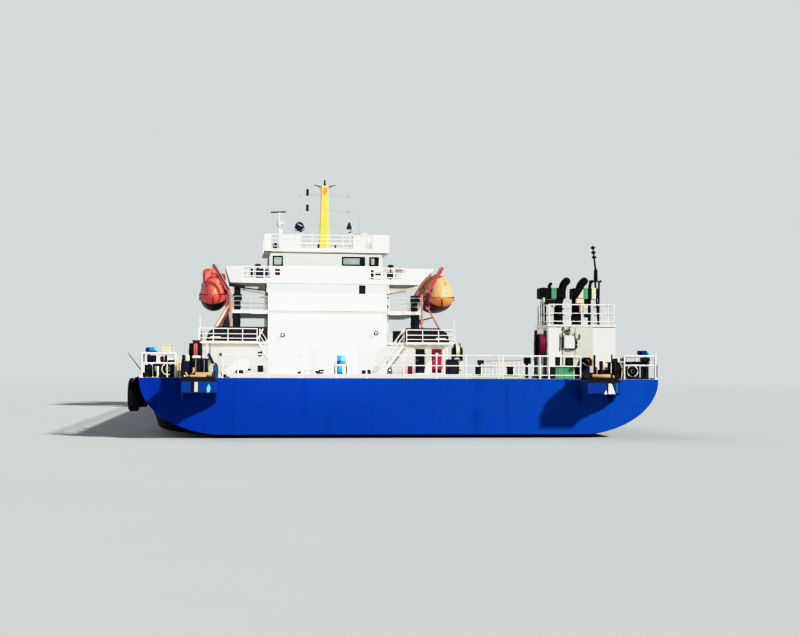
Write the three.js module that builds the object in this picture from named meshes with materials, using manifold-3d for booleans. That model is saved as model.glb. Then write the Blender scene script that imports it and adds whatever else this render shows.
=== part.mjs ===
// River barge, self-propelled, with a flat cargo deck, its deckhouse forward and its engine casing aft.
// It is a 1:2 scale model. Everything is drawn at full size in metres, and the ship group scales it.
// +X is starboard, +Y is forward and +Z is up. The origin is amidships, on the flat bottom's centreline.
// On deck a place is (x, t, h): x from the centreline, t forward of the transom, h above the main deck.
import * as THREE from "three";
import { mergeVertices } from "three/addons/utils/BufferGeometryUtils.js";
import Module from "manifold-3d";

const wasm = await Module();
wasm.setup();

// Driving dimensions, full size in metres
const SCALE = 0.5;
const LENGTH = 68;
const DEPTH = 4.8;
const HALF_BEAM = 11.5;
const GAP = 0.0006;
const BORE = 0.062;
const WALL = 0.12;
const SIDES = [
  { side: "port", s: -1 },
  { side: "starboard", s: 1 },
];

// Heights of the tiers above the main deck
const BOAT_DECK = 2.5;
const GALLERY_DECK = 4.92;
const BRIDGE_DECK = 7.35;
const ROOF = 9.9;
const BOAT_PLATE = 0.15;
const GALLERY_PLATE = 0.24;
const BRIDGE_PLATE = 0.35;
const ROOF_PLATE = 0.38;
const ROOF_CAMBER = 0.2;

// Fore-and-aft places of the deckhouse
const HOUSE_AFT = 45;
const SIDE_FACE = 46.2;
const BOAT_DECK_AFT = 43.2;
const BRIDGE_AFT = 44.3;
const WHEELHOUSE_AFT = 47;
const CORE_HALF = 4.6;

// Railings
const RAIL_TOP = 1.08;
const RAIL_COURSES = [0.55, 1.05];
const RAIL_BAR = 0.06;
const RAIL_SIDES = 3;
const RAIL_PITCH = { stern: 1.44, side: 2.8, boat: 2.8, gallery: 2.8, bridge: 2.2, roof: 2.6, casing: 1.6 };
const STANCHION = 0.07;

const PAINT = {
  hull: ["#0b3fae", 0.45],
  black: ["#15151c", 0.6],
  white: ["#ece8dc", 0.5],
  yellow: ["#f2c61e", 0.5],
  orange: ["#e0642a", 0.5],
  pink: ["#b4574f", 0.6],
  green: ["#4f9a68", 0.5],
  red: ["#7c1420", 0.6],
  steel: ["#34363c", 0.5],
  bronze: ["#a37a38", 0.35],
  rubber: ["#17171a", 0.9],
};

// Solids

function solidOf(geometry) {
  const bare = geometry.index ? geometry.toNonIndexed() : geometry.clone();
  bare.deleteAttribute("normal");
  bare.deleteAttribute("uv");
  const merged = mergeVertices(bare, 1e-5);
  const corners = merged.index.array;
  const triVerts = [];
  for (let i = 0; i < corners.length; i += 3) {
    const [a, b, c] = corners.slice(i, i + 3);
    if (a !== b && b !== c && c !== a) triVerts.push(a, b, c);
  }
  const vertProperties = merged.attributes.position.array;
  const made = new wasm.Manifold(
    new wasm.Mesh({ numProp: 3, vertProperties, triVerts: new Uint32Array(triVerts) }),
  );
  return made;
}

function geometryOf(solid) {
  const { numProp, vertProperties, triVerts } = solid.getMesh();
  const places = new Float32Array((vertProperties.length / numProp) * 3);
  for (let i = 0; i < places.length / 3; i++) {
    places.set(vertProperties.subarray(i * numProp, i * numProp + 3), i * 3);
  }
  const geometry = new THREE.BufferGeometry();
  geometry.setAttribute("position", new THREE.BufferAttribute(places, 3));
  geometry.setIndex(new THREE.BufferAttribute(triVerts, 1));
  return geometry;
}

function join(solids) {
  return solids.reduce((whole, next) => whole.add(next));
}

function cut(solid, tools) {
  return tools.reduce((rest, tool) => rest.subtract(tool), solid);
}

function box([x0, x1], [t0, t1], [h0, h1]) {
  const geometry = new THREE.BoxGeometry(Math.abs(x1 - x0), Math.abs(t1 - t0), Math.abs(h1 - h0));
  geometry.translate((x0 + x1) / 2, (t0 + t1) / 2, (h0 + h1) / 2);
  return solidOf(geometry);
}

function shapeOf(outline) {
  return new THREE.Shape(outline.map(([a, b]) => new THREE.Vector2(a, b)));
}

// Outline in x and t, standing from h0 to h1
function upright(outline, h0, h1) {
  const geometry = new THREE.ExtrudeGeometry(shapeOf(outline), { depth: h1 - h0, bevelEnabled: false });
  geometry.translate(0, 0, h0);
  return solidOf(geometry);
}

// Outline in x and h, running from t0 to t1
function lengthwise(outline, t0, t1) {
  const geometry = new THREE.ExtrudeGeometry(shapeOf(outline), { depth: t1 - t0, bevelEnabled: false });
  geometry.rotateX(Math.PI / 2);
  geometry.translate(0, t1, 0);
  return solidOf(geometry);
}

// Outline in t and h, running from x0 to x1
function crosswise(outline, x0, x1) {
  const geometry = new THREE.ExtrudeGeometry(shapeOf(outline), { depth: x1 - x0, bevelEnabled: false });
  const axes = new THREE.Matrix4().makeBasis(
    new THREE.Vector3(0, 1, 0),
    new THREE.Vector3(0, 0, 1),
    new THREE.Vector3(1, 0, 0),
  );
  geometry.applyMatrix4(axes);
  geometry.translate(x0, 0, 0);
  return solidOf(geometry);
}

// Round bar from a to b, whose radius may taper
function rod(a, b, radius, sides = 6, endRadius = radius) {
  const from = new THREE.Vector3(...a);
  const to = new THREE.Vector3(...b);
  const way = to.clone().sub(from);
  const geometry = new THREE.CylinderGeometry(endRadius, radius, way.length(), sides);
  const turn = new THREE.Quaternion().setFromUnitVectors(
    new THREE.Vector3(0, 1, 0),
    way.clone().normalize(),
  );
  geometry.applyQuaternion(turn);
  geometry.translate(...from.add(to).multiplyScalar(0.5).toArray());
  return solidOf(geometry);
}

// Flat or square bar from a to b, wide across the way it runs and deep towards the top
function bar(a, b, width, depth = width) {
  const from = new THREE.Vector3(...a);
  const to = new THREE.Vector3(...b);
  const way = to.clone().sub(from);
  const along = way.clone().normalize();
  const up = Math.abs(along.z) > 0.99 ? new THREE.Vector3(0, 1, 0) : new THREE.Vector3(0, 0, 1);
  const across = along.clone().cross(up).normalize();
  const geometry = new THREE.BoxGeometry(width, way.length(), depth);
  const axes = new THREE.Matrix4().makeBasis(across, along, across.clone().cross(along));
  geometry.applyMatrix4(axes);
  geometry.translate(...from.add(to).multiplyScalar(0.5).toArray());
  return solidOf(geometry);
}

// Round tube along a smooth curve through the points
function pipe(points, radius, steps = 10, sides = 8) {
  const ring = [];
  for (let i = 0; i < sides; i++) {
    const turn = (2 * Math.PI * i) / sides;
    ring.push([radius * Math.cos(turn), radius * Math.sin(turn)]);
  }
  const path = new THREE.CatmullRomCurve3(points.map((p) => new THREE.Vector3(...p)));
  const geometry = new THREE.ExtrudeGeometry(shapeOf(ring), {
    steps,
    extrudePath: path,
    bevelEnabled: false,
  });
  return solidOf(geometry);
}

// Profile of (radius, distance) turned about a line through the centre: "x", "t" or "h"
function turned(profile, axis, centre, segments = 14) {
  const points = profile.map(([r, d]) => new THREE.Vector2(r, d));
  const geometry = new THREE.LatheGeometry(points, segments);
  if (axis === "x") geometry.rotateZ(-Math.PI / 2);
  if (axis === "h") geometry.rotateX(Math.PI / 2);
  geometry.translate(...centre);
  return solidOf(geometry);
}

// Skin over rings of the same number of points, closed by flat ends
function loft(rings) {
  const count = rings[0].length;
  const corners = [];
  for (let r = 0; r + 1 < rings.length; r++) {
    for (let i = 0; i < count; i++) {
      const j = (i + 1) % count;
      corners.push(rings[r][i], rings[r + 1][j], rings[r][j]);
      corners.push(rings[r][i], rings[r + 1][i], rings[r + 1][j]);
    }
  }
  const first = rings[0];
  const last = rings[rings.length - 1];
  for (let i = 1; i + 1 < count; i++) {
    corners.push(first[0], first[i], first[i + 1]);
    corners.push(last[0], last[i + 1], last[i]);
  }
  const geometry = new THREE.BufferGeometry();
  geometry.setAttribute("position", new THREE.Float32BufferAttribute(corners.flat(), 3));
  return solidOf(geometry);
}

// Railing along legs of [x, t] points on a deck at height h
function railing(points, h, spacing, courses = RAIL_COURSES) {
  const solids = [];
  for (let i = 0; i + 1 < points.length; i++) {
    const [x0, t0] = points[i];
    const [x1, t1] = points[i + 1];
    const bays = Math.max(1, Math.round(Math.hypot(x1 - x0, t1 - t0) / spacing));
    for (const course of courses) {
      solids.push(rod([x0, t0, h + course], [x1, t1, h + course], RAIL_BAR / 2, RAIL_SIDES));
    }
    for (let k = i === 0 ? 0 : 1; k <= bays; k++) {
      const x = x0 + ((x1 - x0) * k) / bays;
      const t = t0 + ((t1 - t0) * k) / bays;
      const half = STANCHION / 2;
      solids.push(box([x - half, x + half], [t - half, t + half], [h - 0.02, h + RAIL_TOP]));
    }
  }
  return solids;
}

// Deckhouse walls round an outline in x and t, open above and below where the decks close them
function walls(outline, inner, h0, h1) {
  return upright(outline, h0, h1).subtract(upright(inner, h0 - 1, h1 + 1));
}

function rectangle([x0, x1], [t0, t1]) {
  return [
    [x0, t0],
    [x1, t0],
    [x1, t1],
    [x0, t1],
  ];
}

// Hull

// Sections: t, half-breadth at the deck and at the bilge, height of the bottom, bilge width and height
const SECTIONS = [
  { t: 0, deck: 11.5, side: 11.5, bottom: 2.3, bilgeX: 3.9, bilgeZ: 2.45 },
  { t: 5, deck: 11.5, side: 11.5, bottom: 2.0, bilgeX: 3.8, bilgeZ: 2.5 },
  { t: 10, deck: 11.5, side: 11.5, bottom: 1.0, bilgeX: 3.0, bilgeZ: 3.0 },
  { t: 16, deck: 11.5, side: 11.5, bottom: 0, bilgeX: 2.6, bilgeZ: 3.0 },
  { t: 24, deck: 11.5, side: 11.5, bottom: 0, bilgeX: 1.2, bilgeZ: 1.2 },
  { t: 52, deck: 11.5, side: 11.5, bottom: 0, bilgeX: 1.2, bilgeZ: 1.2 },
  { t: 58, deck: 11.0, side: 10.5, bottom: 0, bilgeX: 1.6, bilgeZ: 1.4 },
  { t: 62, deck: 9.8, side: 8.6, bottom: 0.2, bilgeX: 2.0, bilgeZ: 1.6 },
  { t: 65, deck: 7.7, side: 5.9, bottom: 1.0, bilgeX: 2.2, bilgeZ: 1.6 },
  { t: 67.2, deck: 4.8, side: 2.9, bottom: 2.4, bilgeX: 1.6, bilgeZ: 1.2 },
  { t: 68, deck: 2.4, side: 1.2, bottom: 3.7, bilgeX: 0.8, bilgeZ: 0.6 },
];
const BILGE_STEPS = 6;

function sectionRing({ t, deck, side, bottom, bilgeX, bilgeZ }) {
  const half = [[deck, DEPTH]];
  for (let i = 0; i <= BILGE_STEPS; i++) {
    const turn = (Math.PI / 2) * (i / BILGE_STEPS);
    const x = side - bilgeX * (1 - Math.cos(turn));
    half.push([x, bottom + bilgeZ * (1 - Math.sin(turn))]);
  }
  const starboard = half.map(([x, z]) => [x, t, z]);
  const port = half.map(([x, z]) => [-x, t, z]).reverse();
  return [...starboard, ...port].reverse();
}

function hull() {
  return loft(SECTIONS.map(sectionRing));
}

// Height of the hull's bottom at t
function bottomAt(t) {
  const next = SECTIONS.findIndex((row) => row.t > t);
  const [a, b] = [SECTIONS[next - 1], SECTIONS[next]];
  return a.bottom + ((b.bottom - a.bottom) * (t - a.t)) / (b.t - a.t);
}

// Screws and rudders
const SCREW = { x: 4.5, t: 3.5, z: 1.1, radius: 0.88, hub: 0.17, blades: 4, halfLength: 0.24 };
const RUDDER = { stockT: 1.75, stock: 0.12, fore: 2.15, aft: 0.65, low: 0.25, high: 1.95, half: 0.09 };
const SKEG = { end: 3.9, half: 0.14 };

function skeg(s) {
  const x = s * SCREW.x;
  const outline = [
    [SKEG.end, SCREW.z - 0.22],
    [5.2, 0.12],
    [12.8, 0.05],
    [12.8, 0.8],
    [4.5, 2.7],
    [SKEG.end + 0.35, 2.7],
    [SKEG.end, SCREW.z + 0.22],
  ];
  const fin = crosswise(outline, x - SKEG.half, x + SKEG.half);
  const boss = rod([x, SKEG.end, SCREW.z], [x, 7.5, SCREW.z], 0.24, 12);
  const skin = loft(SECTIONS.map(sectionRing)).translate([0, 0, -GAP]);
  return join([fin, boss]).subtract(skin);
}

function screw(s) {
  const { x, t, z, radius, hub, blades, halfLength } = SCREW;
  const cx = s * x;
  const front = t + 0.4 - GAP;
  const core = rod([cx, t - halfLength, z], [cx, front, z], hub * 0.7, 12, hub);
  const solids = [core];
  for (let i = 0; i < blades; i++) {
    const blade = new THREE.ExtrudeGeometry(
      shapeOf([
        [-0.12, 0],
        [-0.3, 0.45],
        [-0.24, 0.78],
        [0, radius],
        [0.24, 0.78],
        [0.3, 0.45],
        [0.12, 0],
      ]),
      { depth: 0.05, bevelEnabled: false },
    );
    blade.translate(0, 0, -0.025);
    blade.rotateX(Math.PI / 2);
    blade.rotateZ(s * 0.5);
    blade.rotateY((2 * Math.PI * i) / blades);
    blade.translate(cx, t, z);
    solids.push(solidOf(blade));
  }
  return join(solids);
}

function rudder(s) {
  const x = s * SCREW.x;
  const { stockT, stock, fore, aft, low, high, half } = RUDDER;
  const plan = [
    [x - half * 0.4, fore],
    [x - half, stockT],
    [x - half * 0.2, aft],
    [x + half * 0.2, aft],
    [x + half, stockT],
    [x + half * 0.4, fore],
  ];
  const blade = upright(plan, low, high);
  const shaft = rod([x, stockT, low + 0.4], [x, stockT, bottomAt(stockT + stock) - GAP], stock, 12);
  return join([blade, shaft]);
}

// Stern

// Sponsons that carry the corner fairleads: inner and outer edges
const SPONSONS = [
  { side: "port", inner: -8.18, outer: -9.67 },
  { side: "starboard", inner: 7.8, outer: 9.3 },
];
const SPONSON_REACH = 1.5;
const SPONSON_DEPTH = 0.62;

function sponson({ inner, outer }) {
  const [x0, x1] = [Math.min(inner, outer), Math.max(inner, outer)];
  const top = DEPTH - 0.03;
  const low = top - SPONSON_DEPTH;
  const shelf = box([x0, x1], [-SPONSON_REACH, -GAP], [low, top]);
  const knee = [
    [-GAP, low + 0.02],
    [-GAP, low - 0.4],
    [-0.25, low - 0.4],
    [-SPONSON_REACH + 0.4, low + 0.02],
  ];
  const knees = [x0, x1 - 0.1].map((x) => crosswise(knee, x, x + 0.1));
  return join([shelf, ...knees]);
}

function fairlead({ inner, outer }) {
  const s = Math.sign(inner);
  const [x0, x1] = [Math.min(Math.abs(inner), Math.abs(outer)), Math.max(Math.abs(inner), Math.abs(outer))];
  const foot = -0.03 + GAP;
  const at = (a, b) => (s > 0 ? [a, b] : [-b, -a]);
  const base = box(at(x0 + 0.05, x1 - 0.05), [-1.35, -0.35], [foot, foot + 0.1]);
  const roller = rod([s * (x0 + 0.1), -1.15, 0.16], [s * (x1 - 0.1), -1.15, 0.16], 0.11);
  const posts = [x0 + 0.12, (x0 + x1) / 2, x1 - 0.12].map((x) =>
    rod([s * x, -0.85, foot], [s * x, -0.85, 1.0], 0.12),
  );
  const head = box(at(x0 + 0.1, x1 - 0.1), [-0.95, -0.75], [0.6, 0.72]);
  return join([base, roller, ...posts, head]);
}

// Corner winches, drum axis fore and aft
const WINCH = { t: 2.6, h: 0.37, flange: 0.28, core: 0.15, half: 0.42 };
const WINCH_X = { port: -10.35, starboard: 10.9 };
const WINCH_BASE = 0.42;

function winchFrame(side) {
  const { t, h, half } = WINCH;
  const cx = WINCH_X[side];
  const base = box([cx - WINCH_BASE, cx + WINCH_BASE], [t - 0.95, t + 1.15], [GAP, 0.07]);
  const stands = [t - half - 0.16, t + half + 0.16].map((y) => {
    const outline = [
      [cx - 0.32, 0.05],
      [cx + 0.32, 0.05],
      [cx + 0.14, h + 0.14],
      [cx - 0.14, h + 0.14],
    ];
    return lengthwise(outline, y - 0.05, y + 0.05);
  });
  const bore = rod([cx, t - 0.75, h], [cx, t + 0.66, h], BORE, 16);
  const motor = box([cx - 0.36, cx + 0.36], [t + 0.7, t + 1.1], [0.05, 0.78]);
  return join([join([base, ...stands]).subtract(bore), motor]);
}

function winchDrum(side) {
  const { t, h, flange, core, half } = WINCH;
  const profile = [
    [0, -half - 0.2],
    [0.06, -half - 0.2],
    [0.06, -half],
    [flange, -half],
    [flange, -half + 0.05],
    [core, -half + 0.05],
    [core, half - 0.05],
    [flange, half - 0.05],
    [flange, half],
    [0.06, half],
    [0.06, half + 0.2],
    [0, half + 0.2],
  ];
  return turned(profile, "t", [WINCH_X[side], t, h]);
}

// Rope reels, drum axis athwartships: place, flange, half the drum's length, then the plates that carry it
const REELS = [
  { name: "port", at: [-9.18, 4.0, 1.15], flange: 0.55, half: 0.15, outer: 0.295, plate: 0.09, top: 1.7 },
  { name: "starboard", at: [6.93, 3.6, 1.6], flange: 0.57, half: 0.165, outer: 0.32, plate: 0.13, top: 2.22 },
  { name: "forward", at: [9.55, 41.6, 1.85], flange: 0.58, half: 0.27, outer: 0.38, plate: 0.08, top: 2.1 },
];
const REEL_PLATE_HALF = 0.33;
const REEL_CORE = 0.66;

// The forward reel stands on a block of machinery
const REEL_BLOCK = { x: [8.75, 9.93], t: [41.15, 42.05], top: 1.2 };

function reelFrame({ name, at: [x, t, h], outer, plate, top }) {
  const span = [t - REEL_PLATE_HALF, t + REEL_PLATE_HALF];
  const plates = [
    box([x - outer, x - outer + plate], span, [0.04, top]),
    box([x + outer - plate, x + outer], span, [0.04, top]),
  ];
  const foot =
    name === "forward"
      ? box(REEL_BLOCK.x, REEL_BLOCK.t, [GAP, REEL_BLOCK.top])
      : box([x - outer - 0.05, x + outer + 0.05], [t - 0.45, t + 0.45], [GAP, 0.08]);
  const bore = rod([x - 1, t, h], [x + 1, t, h], BORE, 16);
  return join([foot, ...plates]).subtract(bore);
}

function reelDrum({ at, flange, half, outer }) {
  const core = flange * REEL_CORE;
  const pin = 0.06;
  const rim = 0.05;
  const profile = [
    [0, -outer],
    [pin, -outer],
    [pin, -half],
    [flange, -half],
    [flange, -half + rim],
    [core, -half + rim],
    [core, half - rim],
    [flange, half - rim],
    [flange, half],
    [pin, half],
    [pin, outer],
    [0, outer],
  ];
  return turned(profile, "x", at, 16);
}

// Engine casing on the starboard quarter
const CASING = { x: [7.62, 10.96], t: [4.9, 7.3], top: 2.6 };
const CASING_PANEL = { x: [8.37, 8.9], h: [1.45, 2.07] };

function engineCasing() {
  const { x, t, top } = CASING;
  const body = box(x, t, [GAP, top]);
  const edge = 0.06;
  const ring = [
    [x[0] + edge, t[1] - edge],
    [x[0] + edge, t[0] + edge],
    [x[1] - edge, t[0] + edge],
    [x[1] - edge, t[1] - edge],
  ];
  const lip = box([x[0] - edge, x[1] + edge], [t[0] - edge, t[1] + edge], [top - 0.08, top]);
  const panel = box(CASING_PANEL.x, [t[0] - 0.12, t[0] + 0.05], CASING_PANEL.h);
  return join([body, lip, panel, ...railing(ring, top, RAIL_PITCH.casing)]);
}

// Silencers: box ends and the stack through the box, as places (x, h) from the casing up to its mouth
const SILENCERS = [
  {
    name: "inner",
    box: [7.3, 8.74],
    legs: [7.88, 8.6],
    stack: [[8.36, 2.7], [8.38, 3.3], [8.53, 4.05], [8.6, 4.5], [8.76, 4.84]],
    drain: 7.98,
  },
  {
    name: "outer",
    box: [8.97, 10.42],
    legs: [9.6, 10.25],
    stack: [[9.2, 2.7], [9.21, 3.3], [9.28, 4.05], [9.46, 4.55], [9.7, 4.84]],
    drain: 9.98,
  },
];
const SILENCER = { t: [5.5, 7.0], h: [3.92, 4.43], stackT: 5.85, stack: 0.19, leg: 0.09, pipe: 0.075 };

function exhaust({ box: [x0, x1], legs, stack, drain }) {
  const { t, h, stackT, leg } = SILENCER;
  const foot = CASING.top + GAP;
  const drum = box([x0, x1], t, h);
  const posts = legs.map((x) => rod([x, t[1] - 0.3, foot], [x, t[1] - 0.3, h[0] + 0.05], leg));
  const [footX] = stack[0];
  const trunk = rod([footX, stackT, foot], [footX, stackT, stack[1][1]], SILENCER.stack, 10);
  const neck = pipe(
    stack.map(([x, up]) => [x, stackT, up]),
    SILENCER.stack,
    8,
    10,
  );
  const vent = rod([drain, stackT, h[1] - 0.1], [drain, stackT, 4.85], SILENCER.pipe);
  return join([drum, ...posts, trunk, neck, vent]);
}

// Lamp mast behind the silencers: legs as places across at their feet and heads, then the lamps' heights
const LAMP_MAST = {
  x: 10.45,
  t: 7.12,
  legs: [
    [10.36, 10.4],
    [10.62, 10.5],
  ],
  fork: 4.9,
  lamps: [5.96, 6.22, 6.45],
  top: 6.7,
};

function casingMast() {
  const { x, t, legs, fork, lamps, top } = LAMP_MAST;
  const foot = CASING.top + GAP;
  const frame = legs.map(([low, high]) => bar([low, t, foot + 0.03], [high, t, fork], 0.09));
  const arm = bar([10.15, t, fork - 0.05], [10.86, t, fork - 0.05], 0.08);
  const pole = rod([x, t, fork - 0.1], [x, t, top], 0.06);
  const sleeve = rod([x, t, fork], [x, t, fork + 0.56], 0.11);
  const lights = lamps.map((h) => rod([x, t, h], [x, t, h + 0.2], 0.13));
  const shoe = box([x - 0.18, x + 0.24], [t - 0.08, t + 0.08], [foot, foot + 0.06]);
  return join([...frame, shoe, arm, pole, sleeve, ...lights]);
}

// Side rails and stern rail
function sternRail() {
  return join(railing([[-7.95, 0.12], [7.9, 0.12]], GAP + 0.02, RAIL_PITCH.stern, [0.2, 0.64, 1.05]));
}

const SIDE_RAIL = { x: HALF_BEAM - 0.12, inner: 9.95, aft: 0.12, fore: 42.8 };

// Pairs of bitts beside the rail, each on a plate that reaches a stanchion: bays forward of the corner
const BITTS = { x: 10.85, bays: [4, 10, 14], apart: 0.35, radius: 0.14, high: 0.6 };

function bitts(s, t) {
  const { x, apart, radius, high } = BITTS;
  const pair = [-apart, apart].map((d) => rod([s * x, t + d, 0.05], [s * x, t + d, high], radius));
  const [a, b] = [s * (x - 0.3), s * (SIDE_RAIL.x + 0.05)].sort((p, q) => p - q);
  return [...pair, box([a, b], [t - 0.75, t + 0.75], [GAP, 0.08])];
}

function sideRail(s) {
  const { x, inner, aft, fore } = SIDE_RAIL;
  const legs = [
    [s * inner, aft],
    [s * x, aft],
    [s * x, fore],
  ];
  const count = Math.round((fore - aft) / RAIL_PITCH.side);
  const fittings = BITTS.bays.flatMap((bay) => bitts(s, aft + ((fore - aft) * bay) / count));
  return join([...railing(legs, GAP + 0.02, RAIL_PITCH.side), ...fittings]);
}

// Tyre fender on the port quarter, hung by two short chains from a bar
function tyreFender() {
  const profile = [
    [0.32, -0.2],
    [0.55, -0.26],
    [0.68, -0.16],
    [0.72, 0],
    [0.68, 0.16],
    [0.55, 0.26],
    [0.32, 0.2],
    [0.36, 0],
    [0.32, -0.2],
  ];
  return turned(profile, "x", [-HALF_BEAM - 0.24 - GAP, 1.0, DEPTH - 0.75], 16);
}

// Deckhouse

// Doorways through the walls of the lowest tier: x range, height range, tier face, side of the hinges
const DOORWAYS = [
  { name: "core_port", x: [-1.1, 0.4], h: [0.2, 2.0], t: HOUSE_AFT, hinge: 1 },
  { name: "core_starboard", x: [2.6, 3.9], h: [0.2, 2.0], t: HOUSE_AFT, hinge: -1 },
  { name: "side_inner", x: [7.08, 7.7], h: [0.2, 2.02], t: SIDE_FACE, hinge: 1 },
  { name: "side_outer", x: [8.38, 9.07], h: [0.2, 2.02], t: SIDE_FACE, hinge: 1 },
];
const DOOR_LEAF = 0.06;

const HOUSE = { port: -9.7, starboard: 9.5, fore: 57 };

// Plan of the lowest tier, drawn in by an inset
function housePlan(inset) {
  const { port, starboard, fore } = HOUSE;
  const core = CORE_HALF - inset;
  const [aft, side] = [HOUSE_AFT + inset, SIDE_FACE + inset];
  return [
    [port + inset, side],
    [-core, side],
    [-core, aft],
    [core, aft],
    [core, side],
    [starboard - inset, side],
    [starboard - inset, fore - inset],
    [port + inset, fore - inset],
  ];
}

function mainHouse() {
  const shell = walls(housePlan(0), housePlan(WALL), GAP, BOAT_DECK - BOAT_PLATE - GAP);
  const openings = DOORWAYS.map(({ x, h, t }) => box(x, [t - 0.5, t + 0.5], h));
  return cut(shell, openings);
}

// A door's leaf hangs just outside its doorway, on two hinge knuckles
function doorLeaf({ x: [x0, x1], h: [h0, h1], t, hinge }) {
  const face = t - GAP;
  const leaf = box([x0 - 0.05, x1 + 0.05], [face - DOOR_LEAF, face], [h0 - 0.05, h1 + 0.05]);
  const pin = hinge > 0 ? x1 + 0.05 : x0 - 0.05;
  const grip = hinge > 0 ? x0 + 0.1 : x1 - 0.1;
  const knuckles = [h0 + 0.3, h1 - 0.5].map((h) =>
    rod([pin, face - 0.05, h], [pin, face - 0.05, h + 0.2], 0.05),
  );
  const dog = box([grip - 0.05, grip + 0.05], [face - DOOR_LEAF - 0.08, face - 0.02], [1.0, 1.25]);
  return join([leaf, ...knuckles, dog]);
}

// Stairs from the main deck to the boat deck, and the edges of the wells they rise through
const STAIRS = [
  { side: "port", s: -1, foot: 3.75, head: 5.28, well: 5.4 },
  { side: "starboard", s: 1, foot: 3.95, head: 5.73, well: 5.85 },
];
const STAIR_T = 43.75;

const BOAT_DECK_EDGE = { port: -9.9, starboard: 9.7, fore: 57.3 };
const PILLARS = { x: [-9.2, 9.03], t: 43.5, radius: 0.09 };

function boatDeck() {
  const { port, starboard, fore } = BOAT_DECK_EDGE;
  const [portWell, starboardWell] = STAIRS.map(({ s, well }) => s * well);
  const outline = [
    [port, BOAT_DECK_AFT],
    [portWell, BOAT_DECK_AFT],
    [portWell, HOUSE_AFT],
    [starboardWell, HOUSE_AFT],
    [starboardWell, BOAT_DECK_AFT],
    [starboard, BOAT_DECK_AFT],
    [starboard, fore],
    [port, fore],
  ];
  const plate = upright(outline, BOAT_DECK - BOAT_PLATE, BOAT_DECK);
  const posts = PILLARS.x.map((x) => {
    return rod([x, PILLARS.t, GAP], [x, PILLARS.t, BOAT_DECK - 0.1], PILLARS.radius);
  });
  const edge = 0.07;
  const legs = [
    [portWell - edge, BOAT_DECK_AFT + edge],
    [port + edge, BOAT_DECK_AFT + edge],
    [port + edge, fore - edge],
    [starboard - edge, fore - edge],
    [starboard - edge, BOAT_DECK_AFT + edge],
    [starboardWell + edge, BOAT_DECK_AFT + edge],
  ];
  return join([plate, ...posts, ...railing(legs, BOAT_DECK, RAIL_PITCH.boat)]);
}

function tier([h0, h1], fore) {
  const outline = rectangle([-CORE_HALF, CORE_HALF], [HOUSE_AFT, fore]);
  const inner = rectangle([-CORE_HALF + WALL, CORE_HALF - WALL], [HOUSE_AFT + WALL, fore - WALL]);
  return walls(outline, inner, h0 + GAP, h1 - GAP);
}

function secondHouse() {
  const sideDoors = box([-6, 6], [49.2, 50.0], [BOAT_DECK + 0.2, BOAT_DECK + 2.0]);
  return tier([BOAT_DECK, GALLERY_DECK - GALLERY_PLATE], 55.5).subtract(sideDoors);
}

function thirdHouse() {
  const sideDoors = box([-6, 6], [51.2, 52.0], [GALLERY_DECK + 0.15, GALLERY_DECK + 1.75]);
  const window = box([2.49, 2.82], [HOUSE_AFT - 1, HOUSE_AFT + 1], [6.36, 6.83]);
  return cut(tier([GALLERY_DECK, BRIDGE_DECK - BRIDGE_PLATE], 54.5), [sideDoors, window]);
}

// Columns of the davits' winches, with a notch for each in the gallery's edge
const COLUMN = { x: [6.7, 7.2], t: [46.2, 46.7], top: { port: 6.75, starboard: 6.25 } };
const NOTCH_ROOM = 0.03;
const GALLERY = { port: -7.32, starboard: 7.25, aft: 44.7, fore: 55.5 };

function galleryDeck() {
  const { port, starboard, aft, fore } = GALLERY;
  const low = GALLERY_DECK - GALLERY_PLATE;
  const recess = CORE_HALF + 0.03;
  const outline = [
    [port, aft],
    [-recess, aft],
    [-recess, HOUSE_AFT],
    [recess, HOUSE_AFT],
    [recess, aft],
    [starboard, aft],
    [starboard, fore],
    [port, fore],
  ];
  const plate = upright(outline, low, GALLERY_DECK);
  const notchT = [COLUMN.t[0] - NOTCH_ROOM, COLUMN.t[1] + NOTCH_ROOM];
  const notches = SIDES.map(({ s }) => {
    return box([s * (COLUMN.x[0] - NOTCH_ROOM), s * (COLUMN.x[1] + 1)], notchT, [low - 1, low + 1]);
  });
  const edge = 0.07;
  const rails = [
    [
      [-recess - edge, aft + edge],
      [port + edge, aft + edge],
      [port + edge, notchT[0] - edge],
    ],
    [
      [port + edge, notchT[1] + edge],
      [port + edge, fore - edge],
      [starboard - edge, fore - edge],
      [starboard - edge, notchT[1] + edge],
    ],
    [
      [starboard - edge, notchT[0] - edge],
      [starboard - edge, aft + edge],
      [recess + edge, aft + edge],
    ],
  ];
  const railings = rails.flatMap((legs) => railing(legs, GALLERY_DECK, RAIL_PITCH.gallery));
  return join([cut(plate, notches), ...railings]);
}

// Bridge deck. Its wings flare outwards: the foot and head of each end panel, and where its aft panel stops
const WING = { fore: 49.5, top: 0.87 };
const WING_ENDS = [
  { s: -1, foot: 7.52, head: 7.9, inner: 6.55 },
  { s: 1, foot: 7.0, head: 8.2, inner: 5.95 },
];
const BRIDGE = { half: 5.2, fore: 54.8 };

// Solid bulwark amidships, with open rails between it and the wings
const BULWARK = { x: [-3.36, 3.2], top: 1.0, thick: 0.08 };

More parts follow.
